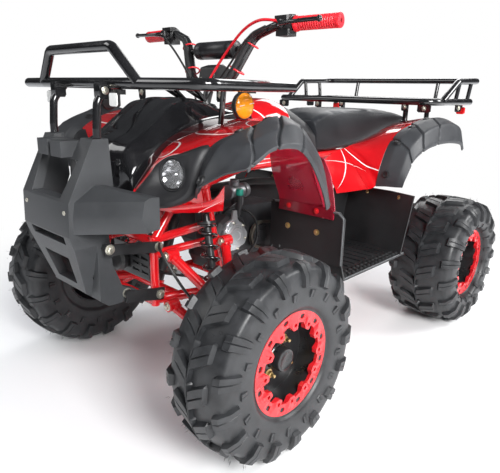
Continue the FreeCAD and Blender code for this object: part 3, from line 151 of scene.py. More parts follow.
def finish(name, colour, roughness, grain=0.0, grain_size=900.0, mottle=0.12, mottle_size=14.0, metallic=0.0,
           coat=0.0, specular=0.5, alpha=1.0):
    """Material whose colour is mottled between darker and lighter by broad noise, whose roughness
    follows the same noise, and whose bump is fine noise of the grain's size."""
    made = bpy.data.materials.new(name)
    made.use_nodes = True
    tree = made.node_tree
    shader = tree.nodes["Principled BSDF"]
    place = wired(tree, "TexCoord").outputs["Object"]
    broad = wired(tree, "TexNoise",
                  {"Vector": place, "Scale": mottle_size, "Detail": 5.0, "Roughness": 0.6})
    dark = tuple(c * (1 - mottle) for c in colour) + (1,)
    light = tuple(min(1, c * (1 + mottle) + 0.02 * mottle) for c in colour) + (1,)
    ramp = wired(tree, "ValToRGB", {"Fac": broad.outputs["Fac"]})
    for stop, position, shade in zip(ramp.color_ramp.elements, (0.32, 0.68), (dark, light)):
        stop.position, stop.color = position, shade
    tree.links.new(ramp.outputs["Color"], shader.inputs["Base Color"])
    rough = wired(tree, "MapRange",
                  {"Value": broad.outputs["Fac"], "From Min": 0.3, "From Max": 0.7,
                   "To Min": max(0.02, roughness - 0.06), "To Max": min(1, roughness + 0.06)})
    tree.links.new(rough.outputs[0], shader.inputs["Roughness"])
    if grain:
        fine = wired(tree, "TexNoise", {"Vector": place, "Scale": grain_size, "Detail": 3.0})
        bump = wired(tree, "Bump", {"Height": fine.outputs["Fac"], "Strength": grain, "Distance": 0.0006})
        tree.links.new(bump.outputs[0], shader.inputs["Normal"])
    for key, value in (("Metallic", metallic), ("Coat Weight", coat), ("Coat Roughness", 0.06),
                       ("Specular IOR Level", specular), ("Alpha", alpha)):
        shader.inputs[key].default_value = value
    return made


def grid(points, around=False, along=False):
    """Surface through a grid of points, closed round its columns or along its rows if asked."""
    points = np.asarray(points, float)
    rows, columns = points.shape[:2]
    index = np.arange(rows * columns).reshape(rows, columns)
    if around:
        index = np.concatenate([index, index[:, :1]], 1)
    if along:
        index = np.concatenate([index, index[:1]], 0)
    quads = np.stack([index[:-1, :-1], index[1:, :-1], index[1:, 1:], index[:-1, 1:]], -1).reshape(-1, 4)
    return points.reshape(-1, 3), quads.tolist()


def piece(name, parts, material, stands_for=None, sharp=34, body="chassis"):
    """One mesh object from several (points, faces) parts, at the origin, riding on its body, with
    the node that it stands for."""
    points, faces, start = [], [], 0
    for some_points, some_faces in parts:
        some_points = np.asarray(some_points, float).reshape(-1, 3)
        points.append(some_points)
        faces += [[i + start for i in face] for face in some_faces]
        start += len(some_points)
    mesh = bpy.data.meshes.new(name)
    mesh.from_pydata(np.concatenate(points).tolist(), [], faces)
    mesh.validate()
    mesh.materials.append(material)
    mesh.shade_smooth()
    mesh.set_sharp_from_angle(angle=math.radians(sharp))
    made = bpy.data.objects.new(name, mesh)
    scene.collection.objects.link(made)
    if body:
        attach(made, body)
    if stands_for:
        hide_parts(stands_for)
    return made


def mirrored(part):
    """The same part on the other side of the quad, its faces turned to point outwards."""
    points = np.asarray(part[0], float) * (-1, 1, 1)
    return points, [list(face)[::-1] for face in part[1]]


def both(parts):
    return list(parts) + [mirrored(part) for part in parts]


def across(run):
    """Two unit vectors square to a run."""
    run = np.asarray(run, float) / np.linalg.norm(run)
    aside = np.cross(run, (0, 0, 1) if abs(run[2]) < 0.9 else (1, 0, 0))
    aside /= np.linalg.norm(aside)
    return aside, np.cross(aside, run)


def circle(turns, aside, up):
    """Points of a unit circle in the plane of two vectors, at the given turns."""
    return np.cos(turns)[:, None] * aside + np.sin(turns)[:, None] * up


def lathe(start, run, profile, steps=32):
    """Surface of revolution: (distance, radius) pairs turned about the line from start along run."""
    run = np.asarray(run, float) / np.linalg.norm(run)
    aside, up = across(run)
    angles = np.arange(steps) * 2 * math.pi / steps
    distance, radius = np.array(profile, float).T
    spoke = circle(angles, aside, up)
    points = np.asarray(start, float) + distance[:, None, None] * run + radius[:, None, None] * spoke
    points, faces = grid(points, around=True)
    last = len(points) - steps
    return points, faces + [list(range(steps)), list(range(last, last + steps))[::-1]]


def swept(path, radius, sides=12, closed=False):
    """Round tube through many points; its ring of points turns with the path, without twist."""
    path = np.asarray(path, float)
    run = np.gradient(path, axis=0)
    if closed:
        run = np.roll(path, -1, 0) - np.roll(path, 1, 0)
    run /= np.linalg.norm(run, axis=1)[:, None]
    aside = [across(run[0])[0]]
    for direction in run[1:]:
        turned = aside[-1] - direction * np.dot(aside[-1], direction)
        aside.append(turned / np.linalg.norm(turned))
    aside = np.array(aside)
    up = np.cross(aside, run)
    angles = np.arange(sides) * 2 * math.pi / sides
    radius = np.broadcast_to(np.asarray(radius, float), len(path))[:, None, None]
    ring = np.cos(angles)[None, :, None] * aside[:, None] + np.sin(angles)[None, :, None] * up[:, None]
    points, faces = grid(path[:, None] + radius * ring, around=True, along=closed)
    if closed:
        return points, faces
    last = len(points) - sides
    return points, faces + [list(range(sides)), list(range(last, last + sides))[::-1]]


def arced(points, bend):
    """Straight runs joined by tangent arcs of one bend radius, as points along the line."""
    points = np.asarray(points, float)
    path = [points[0]]
    for before, here, after in zip(points, points[1:], points[2:]):
        into, out = here - before, after - here
        long_in, long_out = np.linalg.norm(into), np.linalg.norm(out)
        into, out = into / long_in, out / long_out
        turn = math.acos(np.clip(into @ out, -1, 1))
        cut = min(bend * math.tan(turn / 2), 0.48 * long_in, 0.48 * long_out)
        if turn < 0.03 or cut < 1e-4:
            path.append(here)
            continue
        radius = cut / math.tan(turn / 2)
        centre = here + (out - into) / np.linalg.norm(out - into) * radius / math.cos(turn / 2)
        first = here - into * cut - centre
        for step in np.linspace(0, 1, max(3, round(turn / 0.16) + 1)):
            path.append(centre + first * math.cos(step * turn) + into * radius * math.sin(step * turn))
    path.append(points[-1])
    return np.array(path)


def pipe(points, radius, bend=0.03, sides=14):
    """Bent steel tube with closed ends."""
    return swept(arced(points, bend), radius, sides)


def curve(points, count, closed=False):
    """Smooth line through points: each stretch is a cubic whose slope at a point is half the
    way between its neighbours."""
    points = np.asarray(points, float)
    if closed:
        points = np.concatenate([points[-1:], points, points[:2]])
    else:
        points = np.concatenate([2 * points[:1] - points[1:2], points, 2 * points[-1:] - points[-2:-1]])
    stretches = len(points) - 3
    t = np.linspace(0, stretches, count, endpoint=not closed)
    i = np.minimum(t.astype(int), stretches - 1)
    f = (t - i).reshape(-1, *[1] * (points.ndim - 1))
    a, b, c, d = (points[i + k] for k in range(4))
    return b + 0.5 * f * (c - a + f * (2 * a - 5 * b + 4 * c - d + f * (3 * (b - c) + d - a)))


def bolt(place, run, radius=0.008, head=0.006, washer=True):
    """Hexagonal bolt head on a round washer."""
    parts = [lathe(place, run,
                   [(-0.002, radius * 0.9), (head, radius * 0.9), (head + 0.0012, radius * 0.62)], 6)]
    if washer:
        parts.append(lathe(place, run,
                           [(-0.002, radius * 1.25), (0.0012, radius * 1.3), (0.0018, radius * 1.1)], 20))
    return parts


rubber = finish("tyre_rubber", (0.018, 0.019, 0.021), 0.42, grain=0.35, grain_size=420, mottle=0.35,
                mottle_size=30, specular=0.55)
rim_black = finish("rim_black", (0.012, 0.012, 0.013), 0.3, grain=0.05, mottle=0.2, coat=0.25)
ring_red = finish("ring_red", (0.62, 0.012, 0.018), 0.3, grain=0.08, grain_size=300, mottle=0.08, coat=0.35)
brassy = finish("brassy_zinc", (0.62, 0.45, 0.2), 0.32, grain=0.1, mottle=0.25, metallic=0.9)
steel = finish("bright_steel", (0.6, 0.6, 0.6), 0.3, grain=0.1, mottle=0.2, metallic=0.95)


def tyre_section(radius, width, inset):
    """Half section of the carcass from the bead over the shoulder to the middle of the tread, as
    (distance from the middle, radius), then smoothed."""
    half = width / 2
    bead = half - inset - 0.0085
    crown = radius - 0.0155
    half_line = [(bead, 0.1022), (bead + 0.003, 0.117), (bead + 0.004, 0.1235), (0.93 * half - 0.005, 0.133),
                 (half - 0.0095, 0.155), (0.985 * half - 0.009, 0.178), (0.9 * half - 0.004, crown - 0.02),
                 (0.76 * half, crown - 0.006), (0.4 * half, crown + 0.001), (0, crown + 0.002)]
    line = curve(half_line, 46)
    return np.concatenate([line * (-1, 1), line[-2::-1]])


def tread(radius, width, inset, hand):
    """Lugs as patches of the carcass, lifted along its outward normal. Each is a small grid of
    (place along the section, turn round the axle); the outer rows stay on the carcass, the
    inner ones are lifted, and the turn slants with the distance from the middle."""
    line = tyre_section(radius, width, inset)
    steps = np.linalg.norm(np.diff(line, axis=0), axis=1)
    length = np.concatenate([[0], np.cumsum(steps)])
    length -= length[-1] / 2
    slope = np.gradient(line, axis=0)
    normal = np.stack([slope[:, 1], -slope[:, 0]], 1)
    normal /= np.linalg.norm(normal, axis=1)[:, None]
    if normal[len(normal) // 2, 1] < 0:
        normal = -normal
    half = width / 2
    patterns = [
        ((-0.06, 0.0, 0.05, 0.30, 0.46, 0.52), (0.0, 0.0, 0.35, 0.52, 0.62, 0.62), 0.40, 0.013),
        ((0.60, 0.66, 0.78, 0.98, 1.22, 1.27), (0.98, 1.0, 1.02, 1.06, 1.08, 1.08), 0.30, 0.0105),
        ((1.3, 1.32, 1.37, 1.44, 1.5, 1.53), (1.5, 1.5, 1.5, 1.5, 1.5, 1.5), 0.2, 0.004)]
    parts = []
    pitch = 2 * math.pi / TREAD_PITCHES
    for side in (1, -1):
        for stations, slant, share, lift in patterns:
            s = np.array(stations) * half * side
            lean = np.array(slant) * pitch
            wide = np.array((-0.62, -0.5, -0.06, 0.0, 0.06, 0.5, 0.62)) * share * pitch
            x, r = np.interp(s, length, line[:, 0]), np.interp(s, length, line[:, 1])
            nx, nr = np.interp(s, length, normal[:, 0]), np.interp(s, length, normal[:, 1])
            height = np.full((len(s), len(wide)), lift)
            height[[0, -1]] = -0.002
            height[:, [0, -1]] = -0.002
            height[2:-2, 3] = lift * 0.72
            sag = np.array((0, 0.0, 0.0, 0.0012, 0.002, 0))[:, None]
            height = height - np.where(height > 0, sag, 0)
            bow = 1 + 0.18 * np.sin(np.linspace(0, math.pi, len(s)))
            turn = (lean[:, None] + wide[None] * bow[:, None]) * hand
            turn = turn + (0.25 if side > 0 else 0.75) * pitch
            rr = r[:, None] + height * nr[:, None]
            xx = x[:, None] + height * nx[:, None]
            for i in range(TREAD_PITCHES):
                t = turn + i * pitch
                points = np.stack([xx, rr * np.sin(t), rr * np.cos(t)], -1)
                flip = (side > 0) == (hand > 0)
                parts.append(grid(points if flip else points[:, ::-1]))
    return parts


def hairs(radius, width, count, seed):
    """Moulding hairs: thin three-sided spikes that stand on the lugs near the shoulders."""
    draw = np.random.default_rng(seed)
    parts = []
    for turn, side, lean, tall in zip(draw.uniform(0, 2 * math.pi, count), draw.choice((-1, 1), count),
                                      draw.uniform(-0.5, 0.5, count), draw.uniform(0.005, 0.012, count)):
        place = draw.uniform(0.3, 0.86) * width / 2 * side
        r = radius - 0.004 - 0.012 * max(0, abs(place) / (width / 2) - 0.7) / 0.16
        radial = np.array((0, math.sin(turn), math.cos(turn)))
        if r * radial[2] < -radius + 0.03:
            continue
        root = np.array((place, 0, 0)) + radial * r
        sway = lean * tall * np.cross((1, 0, 0), radial)
        tip = root + radial * tall + np.array((side * 0.15 * tall, 0, 0)) + sway
        if abs(tip[1]) > radius or tip[2] < -radius or abs(tip[0]) > width / 2:
            continue
        aside, up = across(tip - root)
        points = [root + 0.0005 * aside, root - 0.0003 * aside + 0.0004 * up,
                  root - 0.0003 * aside - 0.0004 * up, tip]
        parts.append((points, [(1, 0, 3), (2, 1, 3), (0, 2, 3), (0, 1, 2)]))
    return parts


def wheel(code):
    """Tyre, rim and nuts of one wheel about the X axis at the origin; outward is +X times hand."""
    hand = 1 if code[1] == "l" else -1
    radius, width = TYRE_SIZE[code[0]]
    inset = RING_INSET[code[0]]
    line = tyre_section(radius, width, inset)
    turns = np.arange(120) * 2 * math.pi / 120
    away, reach = (line[:, None, k] + 0 * turns for k in (0, 1))
    points = np.stack([away, reach * np.sin(turns), reach * np.cos(turns)], -1)
    carcass = grid(points, around=True, along=True)
    spikes = hairs(radius, width, HAIRS[code[0]], HAIR_SEED)
    tyre_parts = [carcass] + tread(radius, width, inset, hand) + spikes
    lip = width / 2 - inset - 0.0085
    outer = [(-lip, 0.1018), (-lip, 0.097), (-lip + 0.008, 0.093), (0.008, 0.0915), (0.016, 0.089),
             (0.0205, 0.080), (0.0185, 0.062), (0.0215, 0.052), (0.0215, 0.0125)]
    inner = [(0.0265, 0.0125), (0.0265, 0.050), (0.0235, 0.061), (0.0255, 0.081), (0.021, 0.0905),
             (0.030, 0.0935), (lip - 0.012, 0.0945), (lip - 0.006, 0.097), (lip, 0.0985), (lip, 0.1018)]
    loop = np.array(outer + inner + [(0.0, 0.1018)])
    turns = np.arange(64) * 2 * math.pi / 64
    spoke = np.stack([0 * turns, np.sin(turns), np.cos(turns)], -1)
    points = loop[:, None, 0, None] * np.array((hand, 0, 0)) + loop[:, None, 1, None] * spoke
    rim_parts = [grid(points[:, ::-1] if hand > 0 else points, around=True, along=True)]
    out = (hand, 0, 0)
    rim_parts.append(lathe((hand * 0.026, 0, 0), out,
                           [(0, 0.031), (0.006, 0.0305), (0.008, 0.0285), (0.026, 0.0275),
                            (0.029, 0.0255), (0.0305, 0.02), (0.0285, 0.017), (0.0282, 0)], 36))
    nuts = []
    for k in range(4):
        turn = 0.6 + k * math.pi / 2
        seat = (hand * 0.0262, 0.042 * math.sin(turn), 0.042 * math.cos(turn))
        nuts += bolt(seat, out, 0.0085, 0.008)
        stud = np.array(seat) + np.array(out) * 0.008
        nuts.append(lathe(stud, out, [(0, 0.0042), (0.009, 0.0042), (0.0105, 0.0032)], 12))
    return tyre_parts, rim_parts, nuts


def ring_cell(turn, reach, low, high, window, lift):
    """One cell of the trim ring between two turns and two radii, with one rounded window. Rows run
    from the window's edge to the cell's edge, columns go round; the face stands proud by lift."""
    side = np.linspace(-1, 1, SIDE_SAMPLES, endpoint=False)
    one = np.ones(SIDE_SAMPLES)
    border = np.concatenate([np.stack([side, -one], 1), np.stack([one, side], 1), np.stack([-side, one], 1),
                             np.stack([-one, -side], 1)])
    angle = np.arctan2(border[:, 1], border[:, 0])
    hole = np.stack([np.cos(angle), np.sin(angle)], 1)
    power = (np.abs(hole[:, 0]) ** 3.2 + np.abs(hole[:, 1]) ** 3.2) ** (-1 / 3.2)
    hole = hole * power[:, None] * (window[2], window[3]) + (window[0], window[1])
    rows = np.array((0, 0.0, 0.2, 0.6, 1.0))[:, None, None]
    local = hole + (border - hole) * rows
    theta = turn + local[..., 0] * reach
    r_in, r_out = low(theta), high(theta)
    r = (r_in + r_out) / 2 + local[..., 1] * (r_out - r_in) / 2
    rise = lift(theta, r)
    rise[0] -= 0.006
    return theta, r, rise


def trim_ring(inset_x, hand):
    """Red ring of twelve modules: each has a square window between bosses and a raised boss at the
    inner edge with a small pocket. The inner edge swells inwards at every boss."""
    pitch = 2 * math.pi / RING_MODULES
    face_x, back = inset_x - 0.0048, -0.0075

    def low(theta):
        wave = np.cos(theta * RING_MODULES)
        return 0.0885 - 0.0085 * np.clip(1.6 * wave, -0.55, 1)

    def high(theta):
        return 0.1195 + 0 * theta

    def lift(theta, r):
        wave = np.clip(0.5 + np.cos(theta * RING_MODULES) * 1.3, 0, 1)
        fall = np.clip((0.117 - r) / 0.02, 0, 1)
        return 0.0045 * wave * fall + 0.001 * np.clip((r - 0.114) / 0.003, 0, 1)

    parts = []
    for k in range(RING_MODULES):
        for shift, window in ((0.0, (0.0, -0.42, 0.36, 0.2)), (0.5, (0.0, 0.02, 0.5, 0.42))):
            theta, r, rise = ring_cell((k + shift) * pitch, pitch / 4, low, high, window, lift)
            rear_face = np.full_like(rise, back)
            rear_face[0] = rise[0]
            for face, order in ((rise, 1), (rear_face, -1)):
                points = np.stack([(face_x + face) * hand, r * np.sin(theta), r * np.cos(theta)], -1)
                flip = (order > 0) != (hand > 0)
                parts.append(grid(points[:, ::-1] if flip else points, around=True))
    steps = RING_MODULES * 2 * SIDE_SAMPLES
    around = np.arange(steps) * 2 * math.pi / steps
    for edge, order in ((low(around), 1), (high(around), -1)):
        top = lift(around, edge)
        points = np.stack([np.stack([(face_x + x) * hand, edge * np.sin(around), edge * np.cos(around)], -1)
                           for x in (top, 0 * top + back)])
        flip = (order > 0) != (hand > 0)
        parts.append(grid(points[:, ::-1] if flip else points, around=True))
    return parts


def moved(parts, place):
    return [(np.asarray(points, float) + place, faces) for points, faces in parts]


sets = {}
for code, hub in HUBS.items():
    radius, width = TYRE_SIZE[code[0]]
    ring_parts = trim_ring(width / 2 - RING_INSET[code[0]], 1 if code[1] == "l" else -1)
    sets[code] = [moved(parts, hub) for parts in (*wheel(code), ring_parts)]
for code in ("fl", "fr"):
    tyre_parts, rim_parts, nuts, ring_parts = sets[code]
    body = "wheel_" + code
    piece("front_tyre_" + code[1], tyre_parts, rubber, "tyre_" + code, sharp=38, body=body)
    piece("front_rim_" + code[1], rim_parts, rim_black, "rim_" + code, body=body)
    piece("front_ring_" + code[1], ring_parts, ring_red, "ring_" + code, sharp=30, body=body)
    piece("front_wheel_nuts_" + code[1], nuts, brassy, sharp=25, body=body)
tyre_pairs, rim_pairs, nut_pairs, ring_pairs = (left + right for left, right in zip(sets["rl"], sets["rr"]))
piece("rear_tyre_pair", tyre_pairs, rubber, "rear_tyres", sharp=38, body="rear_axle")
piece("rear_rim_pair", rim_pairs, rim_black, "rear_rims", body="rear_axle")
piece("rear_ring_pair", ring_pairs, ring_red, "rear_rings", sharp=30, body="rear_axle")
piece("rear_wheel_nuts", nut_pairs, brassy, sharp=25, body="rear_axle")

# The frame: round steel tube, welded and powder coated gloss red. Two lower rails rise to the top
# rails at the rear; nose posts, shock towers and cross tubes join them in front.
def front(*points):
    """Points in millimetres counted from under the front axle, as metres in the shared frame."""
    return np.array(points, float) * 0.001 + (0, FRONT_AXLE, 0)


def rear(*points):
    return np.array(points, float) * 0.001 + (0, REAR_AXLE, 0)


def plate(outline, along):
    """Flat outline carried along a vector."""
    outline = np.asarray(outline, float)
    count = len(outline)
    points = np.concatenate([outline, outline + np.asarray(along, float)])
    area = np.zeros(3)
    for one, two in zip(outline, np.roll(outline, -1, 0)):
        area += np.cross(one - outline[0], two - outline[0])
    order = list(range(count))
    sides = [[i, (i + 1) % count, count + (i + 1) % count, count + i] for i in range(count)]
    faces = [order[::-1], [count + i for i in order]] + sides
    if np.dot(area, along) < 0:
        faces = [face[::-1] for face in faces]
    return points, faces


def weld(place, run, radius):
    """Bead of weld round a tube where it meets another."""
    turns = np.arange(30) * 2 * math.pi / 30
    aside, up = across(run)
    ripple = 0.0018 + 0.0006 * np.sin(turns * 9)
    line = np.asarray(place, float) + (radius + 0.0006) * circle(turns, aside, up)
    return swept(line, ripple, 7, closed=True)


frame_red = finish("frame_red", (0.66, 0.008, 0.012), 0.2, grain=0.05, grain_size=220, mottle=0.06, coat=0.6)
rail = [*front((108, -93, 304), (108, 127, 270)), *rear((108, -447, 270), (108, -307, 296), (104, -55, 612))]
deck = [*front((104, -17, 564), (104, 67, 572), (100, 207, 600)),
        *rear((100, -507, 604), (100, -327, 606), (100, 113, 624))]
half = [pipe(rail, 0.013, 0.06, 18), pipe(deck, 0.013, 0.06, 18)]
for a, b, radius in (((108, -93, 288), (108, -93, 464), 0.011), ((108, -93, 456), (108, 95, 466), 0.011),
                     ((108, -93, 420), (108, 115, 420), 0.0105), ((108, -93, 452), (106, -5, 564), 0.011),
                     ((108, 67, 574), (108, 131, 272), 0.0135), ((108, 26, 521), (148, 26, 521), 0.008)):
    half.append(pipe(front(a, b), radius))
half.append(pipe(rear((108, -362, 270), (100, -382, 604)), 0.011))
half.append(plate(front((105, -49, 512), (105, -5, 566), (105, 67, 572), (105, 83, 520), (105, 37, 506)),
                  (0.006, 0, 0)))
for place, run, radius in (((108, -93, 306), (0, 0, 1), 0.011), ((108, -93, 444), (0, 0, 1), 0.011),
                           ((108, -80, 456), (0, 1, 0), 0.011), ((108, 84, 465), (0, 1, 0.06), 0.011),
                           ((108, -80, 420), (0, 1, 0), 0.0105), ((108, 100, 420), (0, 1, 0), 0.0105),
                           ((108, 69, 562), (0, 0.2, -1), 0.0135), ((108, 129, 284), (0, 0.2, -1), 0.0135),
                           ((121, 26, 521), (1, 0, 0), 0.008)):
    half.append(weld(front(place)[0], run, radius))
tubes = both(half)
for a, b, radius in ((-93, 296, 0.011), (-93, 452, 0.011), (-9, 286, 0.011), (207, 270, 0.011),
                     (387, 270, 0.011), (131.6, 588, 0.011)):
    tubes.append(pipe(front((-107, a, b), (107, a, b)), radius))
tubes += [pipe(rear((-107, -327, 606), (107, -327, 606)), 0.011),
          pipe(rear((-107, 105, 624), (107, 105, 624)), 0.011)]
STEM = np.array((0, 185, 498)) / math.hypot(185, 498)
stem_foot = front((0, -3, 302))[0]
tubes.append(lathe(stem_foot - STEM * 0.0004, -STEM, [(0, 0.016), (0.02, 0.016)], 20))
piece("frame_tubes", tubes, frame_red, "frame", sharp=40)

# A-arms: each a V of red round tube with a bushed pivot at each end and a ball joint at the tip.
# Zinc bolts run through the pivots, and the lower pair has a short cross tube for the shock.
zinc = finish("zinc_plate", (0.56, 0.54, 0.46), 0.34, grain=0.12, mottle=0.22, metallic=0.85)
arm_black = finish("steel_black", (0.018, 0.018, 0.019), 0.32, grain=0.12, grain_size=500, mottle=0.3,
                   coat=0.2)
ARM_IN = 140.6
arm_bolts, arm_joints = [], []
for label, z_in, z_out, aim, rear_y in (("upper_arm_tubes", 420, 282, 5, 113),
                                        ("lower_arm_tubes", 290, 194, -9, 83)):
    parts = []
    for y in (-67, rear_y):
        parts.append(pipe(front((ARM_IN, y, z_in), (287, 0, z_out + aim)), 0.012, sides=18))
        parts.append(lathe(front((ARM_IN, y - 15, z_in))[0], (0, 1, 0), [(0, 0.015), (0.03, 0.015)], 22))
        for end, way in ((-15, -1), (15, 1)):
            arm_bolts += bolt(front((ARM_IN, y + end, z_in))[0], (0, way, 0), 0.0085, 0.006)
        parts.append(weld(front((ARM_IN + 14, y * 0.9, z_in - 12 * (z_in - z_out) / 140))[0],
                          (146, -y, z_out + aim - z_in), 0.012))
    parts.append(lathe(front((300, 0, z_out - 11))[0], (0, 0, 1), [(0, 0.0135), (0.002, 0.015), (0.02, 0.015),
                                                                    (0.022, 0.0135)], 22))
    arm_joints.append(lathe(front((300, 0, z_out + 11))[0], (0, 0, 1),
                            [(0, 0.012), (0.004, 0.0125), (0.006, 0.009), (0.007, 0.004)], 20))
    if label[0] == "l":
        parts.append(pipe(front((238, -22, 219.6), (238, 27, 219.6)), 0.0102))
    piece(label, both(parts), frame_red, "upper_arms" if label[0] == "u" else "lower_arms",
          sharp=40)
piece("arm_bolts", both(arm_bolts), zinc, sharp=25)
piece("arm_joint_caps", both(arm_joints), arm_black, sharp=30)

# Coil-over shock absorbers: a black coil spring between two cups, over a black damper tube and a
# bright rod. The front pair leans in to the towers, and the single rear one sits on the middle line.
spring_black = finish("spring_black", (0.010, 0.010, 0.011), 0.1, grain=0.02, mottle=0.2, coat=1.0)


def coil_over(top, bottom, coil, wire, turns, eye_run, eye_half=0.014):
    """Spring as a tube along a helix about the line from top to bottom, with its damper."""
    top, bottom = np.asarray(top), np.asarray(bottom)
    run = bottom - top
    length = np.linalg.norm(run)
    run = run / length
    aside, up = across(run)
    t = np.linspace(0, 1, turns * 22)
    angle = t * turns * 2 * math.pi
    rise = 0.13 + 0.72 * np.where(t < 0.08, t * 0.4,
                                  np.where(t > 0.92, 1 - (1 - t) * 0.4, 0.032 + (t - 0.08) * 1.1143))
    helix = top + (rise * length)[:, None] * run + coil * circle(angle, aside, up)
    spring = [swept(helix, wire, 9)]
    body = [lathe(top, run,
                  [(0.008, 0.009), (0.1 * length, 0.010), (0.1 * length, coil + 0.003),
                   (0.125 * length, coil + 0.003), (0.128 * length, 0.0100), (0.6 * length, 0.0100),
                   (0.605 * length, 0.0085), (0.61 * length, 0.0085)], 28),
            lathe(top, run,
                  [(0.86 * length, 0.006), (0.862 * length, coil + 0.003), (0.885 * length, coil + 0.003),
                   (0.89 * length, 0.014), (0.94 * length, 0.012), (0.96 * length, 0.0105),
                   (0.985 * length, 0.009)], 28)]
    for place in (top, bottom):
        body.append(lathe(place - np.array(eye_run) * eye_half, eye_run, [(0, 0.009), (0.001, 0.0112),
                                                                         (2 * eye_half - 0.001, 0.0112),
                                                                         (2 * eye_half, 0.009)], 24))
    bright = [lathe(top, run, [(0.5 * length, 0.0065), (0.865 * length, 0.0065)], 20)]
    for way in (1, -1):
        bright += bolt(bottom + np.array(eye_run) * eye_half * way, np.array(eye_run) * way, 0.007, 0.005)
    return spring, body, bright


springs, dampers, rods_bright = coil_over(front((159, 26, 521))[0], front((238, 1, 241))[0], 0.0205,
                                          0.0036, 8, (0, 1, 0))
springs, dampers, rods_bright = both(springs), both(dampers), both(rods_bright)
piece("front_springs", springs, spring_black, "front_shocks", sharp=60)
rear_parts = coil_over(rear((0, -327, 583))[0], rear((0, -177, 330))[0], 0.026, 0.0042, 7, (1, 0, 0), 0.02)
piece("rear_spring", rear_parts[0], spring_black, "rear_shock", sharp=60)
piece("damper_bodies", dampers + rear_parts[1], arm_black, sharp=35)
piece("damper_rods", rods_bright + rear_parts[2], steel, sharp=30)

# Knuckles, tie rods and the raked steering stem: cast and turned steel, black, with zinc rods that
# end in ball joints.
cast_black = finish("cast_black", (0.03, 0.03, 0.032), 0.45, grain=0.5, grain_size=260, mottle=0.3)
for side, letter in ((1, "l"), (-1, "r")):
    x = 300 * side
    parts = [lathe(front((x, 0, 238 - 32.6))[0], (0, 0, 1),
                   [(0, 0.014), (0.003, 0.017), (0.062, 0.017), (0.0652, 0.014)], 26),
             lathe(front((x, 0, 238))[0], (side, 0, 0),
                   [(0.008, 0.024), (0.03, 0.026), (0.085, 0.026), (0.1076, 0.034), (0.1076, 0.052),
                    (0.1156, 0.052), (0.1156, 0.010), (0.1348, 0.010)], 36),
             lathe(front((side * 422.4, 0, 238))[0], (side, 0, 0),
                   [(0, 0.0225), (0.015, 0.0225), (0.016, 0.02)], 6),
             pipe(front((x, 4, 252), (x, 40, 262), (x, 70, 290)), 0.0085, 0.02),
             lathe(front((x, 70, 276))[0], (0, 0, 1), [(0, 0.0105), (0.002, 0.012), (0.0274, 0.012)], 22)]
    piece("knuckle_casting_" + letter, parts, cast_black, "knuckle_" + letter, sharp=32,
          body="knuckle_" + letter)
    inner, outer = front((side * 26, 70, 313))[0], front((x, 70, 313))[0]
    reach = np.array((float(side), 0, 0))
    rod_parts = [lathe(inner, reach,
                       [(0.008, 0.0065), (0.03, 0.0065), (0.031, 0.005), (0.24, 0.005), (0.241, 0.0065),
                        (0.266, 0.0065)], 18),
                 lathe(inner - STEM * 0.007, STEM,
                       [(0, 0.0095), (0.002, 0.011), (0.012, 0.011), (0.014, 0.0095)], 20),
                 lathe(outer - (0, 0, 0.007), (0, 0, 1),
                       [(0, 0.0095), (0.002, 0.011), (0.012, 0.011), (0.014, 0.0095)], 20),
                 lathe(inner + reach * 0.036, reach, [(0, 0.0078), (0.007, 0.0078)], 6),
                 lathe(outer - reach * 0.045, reach, [(0, 0.0078), (0.007, 0.0078)], 6)]
    piece("tie_rod_bar_" + letter, rod_parts, zinc, "tie_rod_" + letter, sharp=30,
          body="tie_rod_" + letter)
eye = front((0, 70, 313))[0] - STEM * 0.0074
middle = stem_foot + STEM * ((eye - stem_foot) @ STEM)
back = (eye - middle) / np.linalg.norm(eye - middle)
side_line = [middle - back * 0.018, eye + back * 0.015, eye + back * 0.015 - STEM * 0.007,
             middle - back * 0.018 - STEM * 0.007]
stem_parts = [lathe(stem_foot, STEM, [(0, 0.013), (0.531, 0.013)], 24),
              plate([point - (0.04, 0, 0) for point in side_line], (0.08, 0, 0))]
piece("stem_tube", stem_parts, arm_black, "steering_stem", sharp=30, body="steering")

# Nose cowl: one moulded shell in gloss black, with a ridge on each side, a raised middle, a hump over
# the steering stem and cooling slots low on each side. It clips in between the two fenders.
def softened(points, share=0.2):
    """Each inner point replaced by five along an arc, which leaves and joins the two runs beside
    the point at a share of their length."""
    points = np.asarray(points, float)
    here = points[1:-1]
    before, after = here + share * (points[:-2] - here), here + share * (points[2:] - here)
    arc = [before * (1 - t) ** 2 + 2 * here * t * (1 - t) + after * t * t for t in (0, 0.25, 0.5, 0.75, 1)]
    return np.concatenate([points[:1], np.stack(arc, 1).reshape(-1, *points.shape[1:]), points[-1:]])


def spread(points, count):
    """The same line through points a constant distance apart."""
    steps = np.linalg.norm(np.diff(points[..., :3], axis=0), axis=-1)
    steps = steps.reshape(len(steps), -1).mean(1)
    length = np.concatenate([[0], np.cumsum(steps)])
    where = np.linspace(0, length[-1], count)
    index = np.searchsorted(length, where).clip(1, len(length) - 1)
    share = (where - length[index - 1]) / (length[index] - length[index - 1])
    share = share.reshape(-1, *[1] * (points.ndim - 1))
    return points[index - 1] * (1 - share) + points[index] * share


def surface(rows, along, over, soft=0.2):
    """Fine grid from a few rows of points: smooth along the piece, and straight runs with rounded
    corners across it. Each point also keeps its row and column as a fourth and fifth number."""
    rows = np.asarray(rows, float)
    row, column = np.meshgrid(np.arange(rows.shape[0]), np.arange(rows.shape[1]), indexing="ij")
    rows = np.concatenate([rows, row[..., None], column[..., None]], 2)
    fine = curve(rows, along)
    return spread(softened(fine.transpose(1, 0, 2), soft), over).transpose(1, 0, 2)


